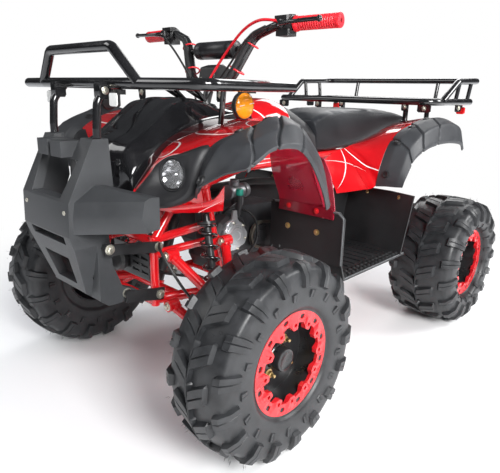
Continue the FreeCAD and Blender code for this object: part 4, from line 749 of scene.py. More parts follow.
def facing(points, out):
    """Unit normals of a grid, on the side that out points to on the whole."""
    normal = np.cross(np.gradient(points, axis=0), np.gradient(points, axis=1))
    normal /= np.maximum(np.linalg.norm(normal, axis=2), 1e-9)[..., None]
    return normal if normal.sum((0, 1)) @ np.asarray(out, float) > 0 else -normal


def shell(points, wall, out=(0, 0, 1)):
    """Closed panel: a grid and the same grid moved inwards by the wall, joined along the edges."""
    normal = facing(points, out)
    if (np.cross(np.gradient(points, axis=0), np.gradient(points, axis=1)) * normal).sum() < 0:
        points, normal = points[:, ::-1], normal[:, ::-1]
    ring = np.concatenate([points, (points - wall * normal)[:, ::-1]], 1)
    rows, columns = ring.shape[:2]
    made, faces = grid(ring, around=True)
    j = np.arange(columns // 2 - 1)
    end = np.stack([j, j + 1, columns - 2 - j, columns - 1 - j], 1)
    return made, faces + end.tolist() + (end[:, ::-1] + (rows - 1) * columns).tolist()


def bump_at(value, middle, half, soft=0.3):
    """Smooth step up and down again round a middle: 1 within half, 0 outside."""
    share = np.clip((half - np.abs(value - middle)) / (half * soft) + 0.5, 0, 1)
    return share * share * (3 - 2 * share)


gloss_black = finish("gloss_black", (0.006, 0.006, 0.007), 0.1, grain=0.02, grain_size=90, mottle=0.2,
                     coat=0.9)
cowl_rows = front([(114, -145, 574), (110, -153, 568), (84, -164, 560), (62, -174, 557), (40, -180, 556),
                   (0, -186, 556)],
                  [(118, -146, 585), (118, -152, 619), (90, -150, 664), (66, -156, 667), (44, -160, 672),
                   (0, -162, 675)],
                  [(118, -104, 626), (118, -104, 656), (90, -104, 701), (66, -104, 703), (43, -104, 708),
                   (0, -104, 711)],
                  [(118, -52, 676), (118, -52, 694), (90, -52, 739), (66, -52, 741), (43, -52, 746),
                   (0, -52, 749)],
                  [(118, 7, 697), (118, 7, 718), (92, -3, 771), (68, 0, 769), (44, 7, 780), (0, 12, 782)],
                  [(118, 67, 712), (118, 67, 735), (90, 67, 776), (68, 67, 772), (44, 67, 784),
                   (0, 67, 787)],
                  [(118, 126, 724), (118, 126, 743), (88, 123, 768), (68, 123, 768), (44, 123, 774),
                   (0, 123, 776)],
                  [(118, 183, 734), (118, 183, 749), (88, 161, 756), (68, 150, 756), (44, 143, 760),
                   (0, 140, 762)])
cowl = surface(cowl_rows, 96, 70, 0.16)
slot_depth = sum(bump_at(cowl[..., 2], height, 0.0048) for height in (0.606, 0.624, 0.642))
slot_depth = slot_depth * bump_at(cowl[..., 4], 2.5, 0.3, 0.5)
scoop = bump_at(cowl[..., 4], 5.0, 1.0, 0.5) * bump_at(cowl[..., 3], 5.2, 1.0, 0.5)
sunk = (0.003 * slot_depth + 0.004 * scoop)[..., None]
cowl_points = cowl[..., :3] - facing(cowl[..., :3], (0, -0.3, 1)) * sunk
cowl_points = np.concatenate([cowl_points, (cowl_points * (-1, 1, 1))[:, ::-1][:, 1:]], 1)
piece("nose_shell", [shell(cowl_points, 0.003)], gloss_black, "nose_cowl", sharp=24)

# Front fenders: gloss red moulded panels beside the cowl, with fine white pinstripes under the lacquer,
# a narrow strip that runs down past the lamp, and a skirt below it.
STRIPE_WHITE = (0.86, 0.84, 0.82, 1)


def striped(made, arcs):
    """Pinstripes in a material: each is where the surface lies at one distance from a point, and it
    fades out where the surface is further than a reach from a second point. Left and right match."""
    tree = made.node_tree
    shader = tree.nodes["Principled BSDF"]
    place = wired(tree, "TexCoord").outputs["Object"]
    parts = wired(tree, "SeparateXYZ", {0: place})
    wide = wired(tree, "Math", {0: parts.outputs[0]}, operation="ABSOLUTE")
    place = wired(tree, "CombineXYZ", {0: wide.outputs[0], 1: parts.outputs[1], 2: parts.outputs[2]})
    place = place.outputs[0]
    total = None
    for centre, radius, width, middle, reach in arcs:
        far = wired(tree, "VectorMath", {0: place, 1: centre}, operation="DISTANCE")
        off = wired(tree, "Math", {0: far.outputs["Value"], 1: radius}, operation="SUBTRACT")
        off = wired(tree, "Math", {0: off.outputs[0]}, operation="ABSOLUTE")
        near = wired(tree, "VectorMath", {0: place, 1: middle}, operation="DISTANCE")
        thin = wired(tree, "MapRange",
                     {"Value": near.outputs["Value"], "From Min": 0.0, "From Max": reach, "To Min": width,
                      "To Max": 0.0})
        line = wired(tree, "Math", {0: off.outputs[0], 1: thin.outputs[0]}, operation="LESS_THAN")
        total = line if total is None else wired(tree, "Math", {0: total.outputs[0], 1: line.outputs[0]},
                                                 operation="MAXIMUM")
    under = shader.inputs["Base Color"].links[0].from_socket
    mixed = wired(tree, "Mix", {0: total.outputs[0], 6: under, 7: STRIPE_WHITE}, data_type="RGBA")
    tree.links.new(mixed.outputs[2], shader.inputs["Base Color"])
    return made


def lacquered(name, arcs):
    """Gloss red panel paint with its pinstripes."""
    return striped(finish(name, (0.55, 0.003, 0.007), 0.14, grain=0.02, grain_size=80, mottle=0.08,
                          coat=0.8), arcs)


front_red = lacquered("fender_red",
                      [((0.24, -0.30, 0.60), 0.21, 0.0022, (0.20, -0.47, 0.71), 0.17),
                       ((0.10, -0.62, 0.80), 0.165, 0.0018, (0.21, -0.52, 0.70), 0.11),
                       ((0.32, -0.36, 0.83), 0.125, 0.0018, (0.22, -0.40, 0.73), 0.12),
                       ((0.16, -0.40, 0.42), 0.165, 0.0016, (0.18, -0.56, 0.55), 0.12),
                       ((0.30, -0.70, 0.62), 0.145, 0.0018, (0.19, -0.62, 0.58), 0.09)])
joints = [(-149, 582), (-104, 626), (-85, 646), (-52, 676), (7, 697), (67, 712), (126, 724), (197, 734)]
edges = [(128, -149, 576), (140, -104, 620), (152, -85, 644), (269, -52, 691), (288, 7, 718), (296, 67, 735),
         (298, 126, 738), (297, 197, 716)]
fender_rows = [[(118.3, y, z), ((118.3 + e[0]) / 2, (y + e[1]) / 2, (z + e[2]) / 2 + 5), e]
               for (y, z), e in zip(joints, edges)]
skirt_rows = [[(121, -148, 590), (121, -155, 576), (121, -153, 562)],
              [(140, -139, 562), (140, -143, 556), (140, -143, 550)],
              [(190, -87, 552), (190, -88, 544), (190, -83, 536)],
              [(226, -13, 560), (226, -15, 546), (222, -13, 532)],
              [(236, 18, 590), (236, 17, 560), (232, 18, 532)]]
fender = [shell(surface(front(*fender_rows), 70, 26, 0.3)[..., :3], 0.0035),
          shell(surface(front(*skirt_rows), 40, 8, 0.3)[..., :3], 0.0035, (1, -1, 0))]
piece("front_fender_pair", both(fender), front_red, "front_fenders", sharp=32)

# Lamp pods: matt black moulded teardrops in front of the fenders. Each holds a round headlamp with a
# chrome reflector of many small facets and a clear domed lens, which the pod's lip holds.
matt_black = finish("matt_black", (0.016, 0.016, 0.018), 0.5, grain=0.35, grain_size=700, mottle=0.2)
lamp_chrome = finish("lamp_chrome", (0.42, 0.42, 0.44), 0.08, grain=0.02, mottle=0.75, mottle_size=95,
                     metallic=1.0)
lens_clear = finish("lens_clear", (0.95, 0.96, 0.97), 0.04, grain=0.02, grain_size=200, mottle=0.02,
                    specular=0.3, alpha=0.07)
LAMP = front((200, -104, 626))[0]
LAMP_OUT = np.array((0.16, -0.97, 0.12)) / np.linalg.norm((0.16, -0.97, 0.12))
pod_edge = curve(front([(128, -156, 573), (139, -116, 620), (152, -93, 647), (208, -76, 671),
                        (262, -58, 690), (268, -78, 648), (258, -92, 590), (218, -116, 560),
                        (168, -144, 553)])[0], 72, closed=True)
aside, up = across(LAMP_OUT)
around = pod_edge - LAMP
bearing = np.arctan2(around @ up, around @ aside)
spokes = circle(bearing, aside, up)
pod_rows = [pod_edge + (0, 0.014, 0), pod_edge]
rim_line = LAMP + 0.0385 * spokes + LAMP_OUT * 0.001
for t in (0.12, 0.3, 0.5, 0.7, 0.86):
    pod_rows.append(pod_edge * (1 - t) + rim_line * t + LAMP_OUT * 0.011 * math.sin(math.pi * t ** 0.7))
for radius, depth in ((0.0385, 0.001), (0.0355, 0.0022), (0.0335, 0.0005), (0.0325, -0.014), (0.036, -0.02)):
    pod_rows.append(LAMP + radius * spokes + LAMP_OUT * depth)
pod_rows = np.array(pod_rows)
pod = grid(pod_rows, around=True, along=True)
FACETS = 28
turns_round = np.arange(FACETS) * 2 * math.pi / FACETS
facets = []
for ring_index, (radius, depth) in enumerate(((0.0318, -0.003), (0.0275, -0.008), (0.022, -0.013),
                                              (0.0155, -0.0165), (0.0085, -0.018), (0.0015, -0.0185))):
    wobble = 0.003 * np.where((np.arange(FACETS) + ring_index) % 2, 1, -1) * min(1, ring_index)
    turn = turns_round + ring_index * math.pi / FACETS
    facets.append(LAMP + radius * circle(turn, aside, up)
                  + LAMP_OUT * (depth + wobble)[:, None])
facets.append(facets[0] * 0 + LAMP - LAMP_OUT * 0.022)
reflector = grid(np.array([facets[0] - LAMP_OUT * 0.02] + facets), around=True)
bulb = lathe(LAMP - LAMP_OUT * 0.018, LAMP_OUT, [(0, 0.0055), (0.008, 0.0055), (0.011, 0.003)], 14)
glass = lathe(LAMP - LAMP_OUT * 0.001, LAMP_OUT,
              [(0, 0.0318), (0.002, 0.0312), (0.006, 0.026), (0.0085, 0.017), (0.0096, 0.006),
               (0.0097, 0.0006)], 40)
piece("lamp_pod_pair", both([pod]), matt_black, "lamp_pods", sharp=30)
piece("lamp_reflectors", both([reflector, bulb]), lamp_chrome, "headlamps", sharp=8)
piece("lamp_lenses", both([glass]), lens_clear, sharp=50)

# Front flares: thick matt plastic overfenders, moulded with deep grooves between raised bands, round
# plugs over their screws, a rolled lip and a thin tail that runs down behind the wheel.
flare_grey = finish("flare_grey", (0.034, 0.036, 0.040), 0.48, grain=0.45, grain_size=620, mottle=0.22,
                    mottle_size=9)
plug_black = finish("plug_black", (0.014, 0.014, 0.015), 0.4, grain=0.2, grain_size=500, mottle=0.2)

GROOVE_DEPTH, BAND_STEP = 0.006, 0.0016
GROOVE_HALF = 0.07  # in rows


def banded(fine, grooves):
    """Height of the flare's relief: a groove where the row number equals a line through its values
    from the inner edge to the lip, and every second band a little higher."""
    row, column = fine[..., 3], fine[..., 4]
    lift = 0 * row
    for index, stops in enumerate(grooves):
        line = np.interp(column, np.linspace(0, 3, len(stops)), stops)
        lift -= GROOVE_DEPTH * bump_at(row, line, GROOVE_HALF, 0.6)
        lift += (BAND_STEP if index % 2 else -BAND_STEP) * np.clip((row - line) / 0.04, 0, 1)
    return lift


def plugs(points, fine, places, out):
    """Round plugs set on the flare at given rows and columns."""
    radius = 0.0105
    normal = facing(points, out)
    parts = []
    for row, column in places:
        nearest = np.argmin((fine[..., 3] - row) ** 2 + (fine[..., 4] - column) ** 2)
        i, j = np.unravel_index(nearest, fine.shape[:2])
        parts.append(lathe(points[i, j], normal[i, j], [(-0.003, radius + 0.0015), (0.0006, radius + 0.0012),
                                                         (0.001, radius), (0.0034, radius - 0.0005),
                                                         (0.0042, radius - 0.002), (0.0036, radius * 0.45),
                                                         (0.0022, radius * 0.4), (0.0022, 0.0005)], 24))
    return parts


def flare(rows, along, over, grooves, places, out):
    """Grooved overfender of 4 mm sheet through a few rows of points, and its plugs."""
    fine = surface(rows, along, over, 0.13)
    points = fine[..., :3] + facing(fine[..., :3], out) * banded(fine, grooves)[..., None]
    return shell(points, 0.004, out), plugs(points, fine, places, out)


front_rows = [[(258, -89, 580), (300, -123, 612), (372, -115, 650), (418, -97, 664), (416, -93, 655)],
              [(266, -80, 640), (306, -91, 668), (376, -73, 684), (420, -59, 684), (418, -57, 674)],
              [(271.4, -52, 691), (312, -52, 704), (380, -45, 708), (422, -29, 698), (419, -30, 688)],
              [(289.4, 7, 718), (334, 7, 735), (388, 9, 728), (424, 11, 703), (421, 10, 693)],
              [(297.4, 67, 735), (342, 67, 755), (394, 67, 738), (424, 63, 694), (421, 60, 684)],
              [(299.4, 126, 738), (346, 123, 742), (396, 115, 708), (424, 111, 655), (421, 105, 647)],
              [(298.4, 197, 716), (348, 189, 696), (396, 175, 650), (424, 157, 590), (421, 149, 584)],
              [(396, 212, 552), (402, 208, 551), (409, 199, 549), (420, 179, 545), (417, 172, 541)]]
panel_parts, plug_parts = flare(front(*front_rows), 210, 44,
                                ((3.4, 3.0, 2.0, 0.3), (4.8, 4.2, 3.35, 2.5), (5.9, 5.5, 4.7, 4.05)),
                                ((2.75, 0.5), (3.95, 0.5), (0.25, 1.05)), (0.4, 0, 1))
piece("front_flare_pair", both([panel_parts]), flare_grey, "front_flares", sharp=32)
piece("front_flare_plugs", both(plug_parts), plug_black, sharp=30)

# Rear fenders and flares: red lacquered panels under the seat, seamed to a side cover, with pinstripes,
# and the same matt overfenders round the rear wheels.
rear_red = lacquered("rear_fender_red",
                     [((0.26, 0.52, 0.86), 0.430, 0.0024, (0.22, 0.18, 0.62), 0.13),
                      ((0.22, -0.16, 0.80), 0.370, 0.0020, (0.22, 0.15, 0.60), 0.12),
                      ((0.24, 0.05, 0.42), 0.200, 0.0016, (0.21, 0.12, 0.60), 0.09),
                      ((0.20, 0.62, 0.44), 0.30, 0.0022, (0.21, 0.42, 0.68), 0.16),
                      ((0.06, 0.40, 0.80), 0.20, 0.0018, (0.20, 0.50, 0.70), 0.12)])
rear_rows = [[(142.3, -477, 598), (168, -477, 560), (200, -477, 500)],
             [(142.3, -407, 622), (182, -407, 580), (240, -407, 508)],
             [(142.3, -350, 630), (190, -350, 598), (259, -350, 516)],
             [(142.3, -335, 634), (192, -335, 618), (259, -335, 569)],
             [(142.3, -297, 640), (196, -297, 640), (259, -297, 637)],
             [(142.3, -242, 650), (200, -242, 668), (259, -242, 680)],
             [(142.3, -181, 664), (200, -181, 688), (259, -181, 699)],
             [(142.3, -91, 688), (200, -91, 706), (259, -91, 717)],
             [(142.3, -7, 700), (200, -7, 712), (259, -7, 722)],
             [(142.3, 93, 700), (200, 93, 704), (259, 93, 705)]]
fine = surface(rear(*rear_rows), 150, 26, 0.35)
seam = 0.003 * bump_at(fine[..., 3], 1.45, 0.035, 0.6) + 0.003 * bump_at(fine[..., 3], 6.4, 0.03, 0.6)
rear_points = fine[..., :3] - facing(fine[..., :3], (1, -0.3, 1)) * seam[..., None]
piece("rear_fender_pair", both([shell(rear_points, 0.0035, (1, -0.3, 1))]), rear_red,
      "rear_fenders", sharp=32)
rear_flare_rows = [[(260, -350, 516), (292, -350, 520), (330, -347, 522), (350, -343, 524), (347, -338, 527)],
                   [(260, -335, 569), (292, -337, 576), (332, -333, 570), (352, -329, 556), (349, -322, 553)],
                   [(260, -297, 637), (292, -299, 644), (334, -295, 632), (354, -293, 604), (351, -288, 597)],
                   [(260, -242, 680), (294, -242, 686), (336, -239, 668), (354, -237, 630), (351, -234, 621)],
                   [(260, -181, 699), (296, -181, 706), (338, -179, 690), (354, -179, 645), (351, -177, 635)],
                   [(260, -91, 717), (296, -91, 722), (338, -91, 704), (354, -91, 651), (351, -91, 641)],
                   [(260, -7, 722), (296, -7, 727), (338, -7, 708), (354, -7, 649), (351, -8, 639)],
                   [(260, 93, 705), (294, 97, 708), (334, 93, 690), (350, 85, 636), (347, 82, 627)],
                   [(262, 133, 668), (292, 139, 668), (330, 133, 650), (346, 121, 612), (343, 117, 604)]]
panel_parts, plug_parts = flare(rear(*rear_flare_rows), 210, 36, ((2.5, 1.8), (4.3, 3.1), (5.7, 4.6)),
                                ((0.7, 0.9), (2.2, 1.0), (3.75, 0.8), (5.0, 0.7)), (0.5, 0, 1))
piece("rear_flare_pair", both([panel_parts]), flare_grey, "rear_flares", sharp=32)
piece("rear_flare_plugs", both(plug_parts), plug_black, sharp=30)

# Racks: bent steel tube in gloss black powder coat. The front one is open at the rear, has a raised
# hoop in front and stands on the bumper's arms; the rear one has a raised rail and four short legs.
rack_black = finish("rack_black", (0.009, 0.009, 0.010), 0.17, grain=0.05, grain_size=300, mottle=0.2,
                    coat=0.6)


def tab(place, out, wide, tall, thick=0.004):
    """Small upright plate with rounded corners and a bolt, facing out."""
    out = np.asarray(out, float) / np.linalg.norm(out)
    aside = np.cross((0, 0, 1), out)
    corners = np.array([(-1, -0.7), (-0.75, -1), (0.75, -1), (1, -0.7), (1, 0.7), (0.75, 1), (-0.75, 1),
                        (-1, 0.7)])
    place, rise = np.asarray(place, float), np.array((0, 0, tall / 2))
    line = place + corners[:, :1] * aside * wide / 2 + corners[:, 1:] * rise
    return plate(line - out * thick / 2, out * thick), bolt(place + out * thick / 2, out, 0.0062, 0.004)


rim_line_front = front((306, 165, 812), (367, -154, 812), (190, -182, 812), (-190, -182, 812),
                       (-367, -154, 812), (-306, 165, 812))
rack = [pipe(rim_line_front, 0.0115, 0.03, 18),
        pipe(front((201, -182, 814), (131, -194, 883), (-131, -194, 883), (-201, -182, 814)), 0.011,
             0.026, 16), pipe(front((-322, 77, 812), (322, 77, 812)), 0.007)]
for x in (-225, -75, 75, 225):
    rack.append(pipe(front((x, -182, 812), (x, 77, 812)), 0.007))
rack_bolts = []
for side in (1, -1):
    rack.append(pipe(front((side * 96, -184, 806), (side * 96, -212, 776), (side * 96, -217, 721),
                           (side * 96, -217, 701)), 0.009, 0.03))
    rack.append(pipe(front((side * 170, 77, 812), (side * 155.5, 81.4, 724)), 0.007))
    rack.append(pipe(front((side * 62, 77, 808), (side * 47, 128, 776)), 0.0055))
    rack.append(pipe(front((side * 24, 77, 808), (side * 40, 132, 775)), 0.0055))
    for place, out in (((side * 96, -199, 797), (side, 0, 0)), ((side * 160, 77, 792), (0, -1, 0))):
        panel_tab, heads = tab(front(place)[0], out, 0.026, 0.034, 0.022 if out[0] else 0.005)
        rack.append(panel_tab)
        rack_bolts += heads
piece("front_rack_tubes", rack, rack_black, "front_rack", sharp=38)
loop = arced(rear((0, -149, 778), (328, -149, 778), (328, 193, 778), (-328, 193, 778), (-328, -149, 778),
                  (0, -149, 778)), 0.045)[:-1]
rack = [swept(loop, 0.0115, 18, closed=True),
        pipe(rear((330, -79, 782), (338, 11, 846), (336, 207, 852), (-336, 207, 852), (-338, 11, 846),
                  (-330, -79, 782)), 0.0105, 0.04, 16)]
for y in (-59, 31, 113):
    rack.append(pipe(rear((-328, y, 778), (328, y, 778)), 0.007))
for x in (-180, 180):
    rack.append(pipe(rear((x, 193, 778), (x, 207, 852)), 0.007))
for side in (1, -1):
    for y in (31, 133):
        rack.append(pipe(rear((side * 327, y, 778), (side * 335.5, y, 849)), 0.0068))
    for y, foot in ((-59, 707), (113, 704)):
        rack.append(pipe(rear((side * 190, y, 778), (side * 190, y, foot)), 0.009))
        rack.append(lathe(rear((side * 190, y, foot - 1))[0], (0, 0, 1),
                          [(0, 0.019), (0.003, 0.0185), (0.005, 0.010)], 20))
    for place, out in (((side * 300, -150, 757), (0, -1, 0)), ((side * 327, 62, 757), (side, 0, 0)),
                       ((side * 190, -70, 757), (0, -1, 0)), ((side * 190, 102, 757), (0, -1, 0))):
        panel_tab, heads = tab(rear(place)[0], out, 0.046 if abs(place[0]) > 200 else 0.024, 0.026)
        rack.append(panel_tab)
        rack_bolts += heads
piece("rear_rack_tubes", rack, rack_black, "rear_rack", sharp=38)
piece("rack_bolts", rack_bolts, zinc, sharp=25)

# Bumper: one moulding in grained black plastic with flat chamfered faces, rounded at every edge. It is
# bolted to the frame by two black steel links on each side.
grained = finish("grained_plastic", (0.040, 0.042, 0.045), 0.46, grain=0.6, grain_size=520, mottle=0.2,
                 mottle_size=8)


def eased(name, node, material, width=0.002, body="chassis"):
    """The solid of a node with its triangles merged to flat faces and its edges rounded."""
    work = bmesh.new()
    work.from_mesh(nodes[node].data)
    bmesh.ops.remove_doubles(work, verts=work.verts, dist=0.00002)
    bmesh.ops.dissolve_limit(work, angle_limit=math.radians(1.0), verts=work.verts, edges=work.edges)
    mesh = bpy.data.meshes.new(name)
    work.to_mesh(mesh)
    work.free()
    mesh.materials.clear()
    mesh.materials.append(material)
    mesh.shade_smooth()
    mesh.set_sharp_from_angle(angle=math.radians(30))
    made = bpy.data.objects.new(name, mesh)
    scene.collection.objects.link(made)
    edge = made.modifiers.new("edge", "BEVEL")
    edge.width = width
    edge.segments = 2
    edge.limit_method = "ANGLE"
    edge.angle_limit = math.radians(16)
    edge.harden_normals = True
    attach(made, body)
    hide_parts(node)
    return made


bumper = eased("bumper_moulding", "front_bumper", grained, 0.003)
WINDOW_STRETCH, WING_CUT = 1.75, 0.032
for vertex in bumper.data.vertices:
    # The window between the uprights opens right out to them, and the wings' ends are drawn in.
    x, y, z = vertex.co
    if abs(x) < 0.048 and 0.54 < z < 0.66 and abs(x) > 0.03 and y < FRONT_AXLE - 0.2:
        vertex.co.x = x * WINDOW_STRETCH
    if abs(x) > 0.14:
        vertex.co.x = x - math.copysign(WING_CUT, x)
eased("bumper_links", "bumper_brackets", arm_black, 0.0008)
bumper_bolts = []
for side in (1, -1):
    for place, run, size in (((89, -295.5, 551), (0, -1, -0.05), 0.0058),
                             ((109, -173, 343), (1, 0, 0), 0.009), ((129, -93, 323), (1, 0, 0), 0.009),
                             ((129, -93, 444), (1, 0, 0), 0.009), ((129, -223, 464), (1, 0, 0), 0.009)):
        bumper_bolts += bolt(front((side * place[0], *place[1:]))[0], (side * run[0], *run[1:]), size, 0.006)
piece("bumper_bolts", bumper_bolts, zinc, sharp=25)

# Between the frame's nose posts: a bare slotted steel plate that carries the horn and the rectifier.
slats = [plate(front((20, -100, z), (96, -100, z), (96, -100, z + 11), (20, -100, z + 11)), (0, 0.003, 0))
             for z in (352, 370, 388, 406)]
slats += [plate(front((x, -99.4, 352), (x + 9, -99.4, 352), (x + 9, -99.4, 417), (x, -99.4, 417)),
                (0, 0.0024, 0)) for x in (16, 54, 90)]
piece("nose_plate", slats, cast_black, sharp=30)
piece("nose_plate_back",
      [plate(front((-62, -96, 345), (100, -96, 345), (100, -96, 424), (-62, -96, 424)), (0, 0.004, 0)),
       lathe(front((-20, -124, 384))[0], (0, 1, 0),
             [(0, 0.012), (0.002, 0.030), (0.010, 0.034), (0.022, 0.030), (0.028, 0.018)], 32)],
      arm_black, sharp=35)

# Handlebar: bent steel tube in black, clamped on the stem, with a cross bar that carries a foam pad,
# ribbed red rubber grips, a lever and a switch housing on each side, and cables held by red ties.
half_bar = [(36, 187.3, 814.3), (79, 193, 832), (130, 223, 935), (196, 233, 958), (364, 255, 960)]
bar_line = front(*[(-x, y, z) for x, y, z in half_bar[::-1]], *half_bar)
bar_parts = [pipe(bar_line, 0.011, 0.045, 18), pipe(front((-112, 213, 905), (112, 213, 905)), 0.008)]
for side in (1, -1):
    clamp = ((168, 806), (172, 805), (204, 805), (208, 809), (208, 826), (203, 830), (172, 830),
             (168, 826))
    x = 31 if side > 0 else -9
    bar_parts.append(plate(front(*[(x, y, z) for y, z in clamp]), (-0.022, 0, 0)))
piece("handlebar_tube", bar_parts, rack_black, "handlebar", sharp=35, body="steering")
clamp_bolts = []
for x in (20, -20):
    for y in (174, 202):
        clamp_bolts += bolt(front((x, y, 830))[0], (0, 0, 1), 0.0055, 0.004)
piece("clamp_bolts", clamp_bolts, zinc, sharp=25, body="steering")
pad_vinyl = finish("pad_vinyl", (0.018, 0.018, 0.020), 0.36, grain=0.25, grain_size=380, mottle=0.25)
profile = [(0, 0.0085), (0.0005, 0.018), (0.003, 0.0222), (0.008, 0.023), (0.024, 0.023), (0.0255, 0.0218),
           (0.027, 0.023), (0.076, 0.0231), (0.125, 0.023), (0.1265, 0.0218), (0.128, 0.023), (0.144, 0.023),
           (0.149, 0.0222), (0.1515, 0.018), (0.152, 0.0085)]
pad = piece("bar_pad_foam", [lathe(front((-76, 213, 905))[0], (1, 0, 0), profile, 36)], pad_vinyl,
            "bar_pad", sharp=50, body="steering")


def bar_end(x, side=1):
    share = (x - 196) / 168
    return front((side * x, 233 + 22 * share, 958 + 2 * share))[0]


grip_red = finish("grip_red", (0.78, 0.016, 0.028), 0.42, grain=0.3, grain_size=500, mottle=0.08, coat=0.1)
grip_profile = [(0, 0.012), (0.0005, 0.0183), (0.002, 0.0188), (0.007, 0.0184), (0.010, 0.0168)]
for index in range(16):
    at = 0.012 + index * 0.0062
    grip_profile += [(at, 0.0166), (at + 0.0012, 0.0155), (at + 0.0022, 0.0155), (at + 0.0034, 0.0166)]
grip_profile += [(0.113, 0.0166), (0.1145, 0.0168), (0.119, 0.0169), (0.1205, 0.0160), (0.1208, 0.0055),
                 (0.117, 0.005)]
grips, housings, levers = [], [], []
for side in (1, -1):
    along = bar_end(364, side) - bar_end(246, side)
    grips.append(lathe(bar_end(246, side), along, grip_profile, 30))
    housings.append(lathe(bar_end(204, side), along,
                          [(0, 0.013), (0.001, 0.018), (0.010, 0.019), (0.0105, 0.0215), (0.030, 0.0225),
                           (0.0395, 0.0215), (0.041, 0.014)], 28))
    perch = front((side * 218, 236, 958))[0]
    for low, high, near, far in ((-0.027, -0.012, -0.018, 0.016), (0.008, 0.0185, -0.024, 0.004)):
        outline = [(-0.015, near, low), (0.022, near, low), (0.025, near + 0.004, low),
                   (0.025, far - 0.004, low), (0.020, far, low), (-0.012, far, low),
                   (-0.015, far - 0.004, low)]
        housings.append(plate(perch + np.array(outline) * (side, 1, 1), (0, 0, high - low)))
    pivot = perch + np.array((side * 0.006, -0.030, -0.001))
    housings.append(lathe(pivot - (0, 0, 0.009), (0, 0, 1),
                          [(0, 0.008), (0.001, 0.009), (0.018, 0.009), (0.019, 0.008)], 20))
    housings.append(pipe([perch, pivot], 0.0075))
    blade = curve([pivot, perch + np.array((side * 0.022, -0.046, -0.002)),
                   perch + np.array((side * 0.066, -0.052, -0.002)),
                   perch + np.array((side * 0.108, -0.044, 0.0)),
                   perch + np.array((side * 0.128, -0.038, 0.001))], 30)
    swell = 0.0048 + 0.0022 * np.exp(-((np.linspace(0, 1, 30) - 0.1) / 0.16) ** 2)
    levers.append(swept(blade, swell, 12))
    tip = blade[-1]
    levers.append(lathe(tip - (side * 0.0062, 0, 0), (side, 0, 0),
                        [(0, 0.003), (0.001, 0.0048), (0.003, 0.0064), (0.0062, 0.0072), (0.0095, 0.0064),
                         (0.0115, 0.0046), (0.0124, 0.001)], 20))
switch_black = finish("switch_black", (0.014, 0.014, 0.015), 0.34, grain=0.15, grain_size=500, mottle=0.2)
piece("grip_rubbers", grips, grip_red, "grips", sharp=40, body="steering")
piece("lever_housings", housings, switch_black, "controls", sharp=35, body="steering")
piece("brake_levers", levers, rack_black, sharp=40, body="steering")
eased("dash_housing", "dash_box", switch_black, 0.003, body="steering")
dial_grey = finish("dial_grey", (0.05, 0.06, 0.07), 0.12, grain=0.02, mottle=0.15, coat=0.8)
dial_line = front((-24, 212, 867.4), (24, 212, 867.4), (24, 243, 853.8), (-24, 243, 853.8))
piece("dash_window", [plate(dial_line, (0, 0.0006, 0.0012))], dial_grey, sharp=30,
      body="steering")
ties = []
for side in (1, -1):
    for share in (0.2, 0.82):
        place = front((side * (79 + 51 * share), 193 + 30 * share, 832 + 103 * share))[0]
        run = np.array((side * 51, 30, 103)) / 118.8
        aside, up = across(run)
        turn = np.arange(28) * 2 * math.pi / 28
        ring = place + 0.0195 * circle(turn, aside, up) + (0, 0.002, 0)
        ties.append(swept(ring, 0.0022, 8, closed=True))
piece("cable_ties", ties, grip_red, sharp=40, body="steering")
sleeves = []
for side in (1, -1):
    line = bar_line[-4:-1] if side > 0 else bar_line[1:4][::-1]
    line = line + (0, -0.0135, 0.001)
    sleeves.append(pipe([line[0], line[1], line[1] * 0.35 + line[2] * 0.65], 0.0078, 0.04, 14))
sleeve_black = finish("sleeve_black", (0.013, 0.013, 0.014), 0.5, grain=0.3, grain_size=420, mottle=0.3)
piece("riser_sleeves", sleeves, sleeve_black, sharp=40, body="steering")
cable_black = finish("cable_black", (0.012, 0.012, 0.012), 0.38, grain=0.2, grain_size=600, mottle=0.2)
sheath_red = finish("sheath_red", (0.75, 0.012, 0.025), 0.35, grain=0.15, grain_size=600, mottle=0.1)


def cable(name, points, radius, material, body):
    """Control cable on one smooth spline: its points are given in millimetres from under the front axle.
    It leaves a lever or clip and goes back into the quad."""
    spline_data = bpy.data.curves.new(name, "CURVE")
    spline_data.dimensions = "3D"
    spline_data.bevel_depth = radius
    spline_data.bevel_resolution = 3
    spline_data.use_fill_caps = True
    spline = spline_data.splines.new("NURBS")
    points = front(*points)
    spline.points.add(len(points) - 1)
    spline.points.foreach_set("co", np.concatenate([points, np.ones((len(points), 1))], 1).ravel())
    spline.order_u = 3
    spline.use_endpoint_u = True
    spline.resolution_u = 10
    spline_data.materials.append(material)
    made = bpy.data.objects.new(name, spline_data)
    scene.collection.objects.link(made)
    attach(made, body)


cable("throttle_cable",
      [(-232, 216, 952), (-206, 190, 950), (-172, 172, 938), (-134, 168, 912), (-100, 168, 878),
       (-66, 166, 842), (-36, 162, 808), (-16, 150, 768)], 0.0028, cable_black, "steering")
cable("front_brake_cable",
      [(232, 206, 954), (204, 184, 950), (168, 170, 936), (130, 170, 906), (98, 172, 872), (64, 168, 836),
       (36, 162, 804), (18, 150, 768)], 0.0028, cable_black, "steering")
cable("rear_brake_sheath",
      [(224, 202, 962), (196, 186, 968), (158, 184, 962), (118, 186, 944), (82, 188, 916), (50, 186, 884),
       (26, 178, 850), (8, 160, 806)], 0.0036, sheath_red, "steering")

# Seat: foam on a pan under one stitched vinyl cover, with a fine diamond grain pressed into its sides. It
# narrows to the tank at the front and sits on the top rails. The tank cover in front is red moulded plastic.
def mid(*points):
    """Points in millimetres counted from the middle of the wheelbase."""
    return np.array(points, float) * 0.001 + (0, (FRONT_AXLE + REAR_AXLE) / 2, 0)


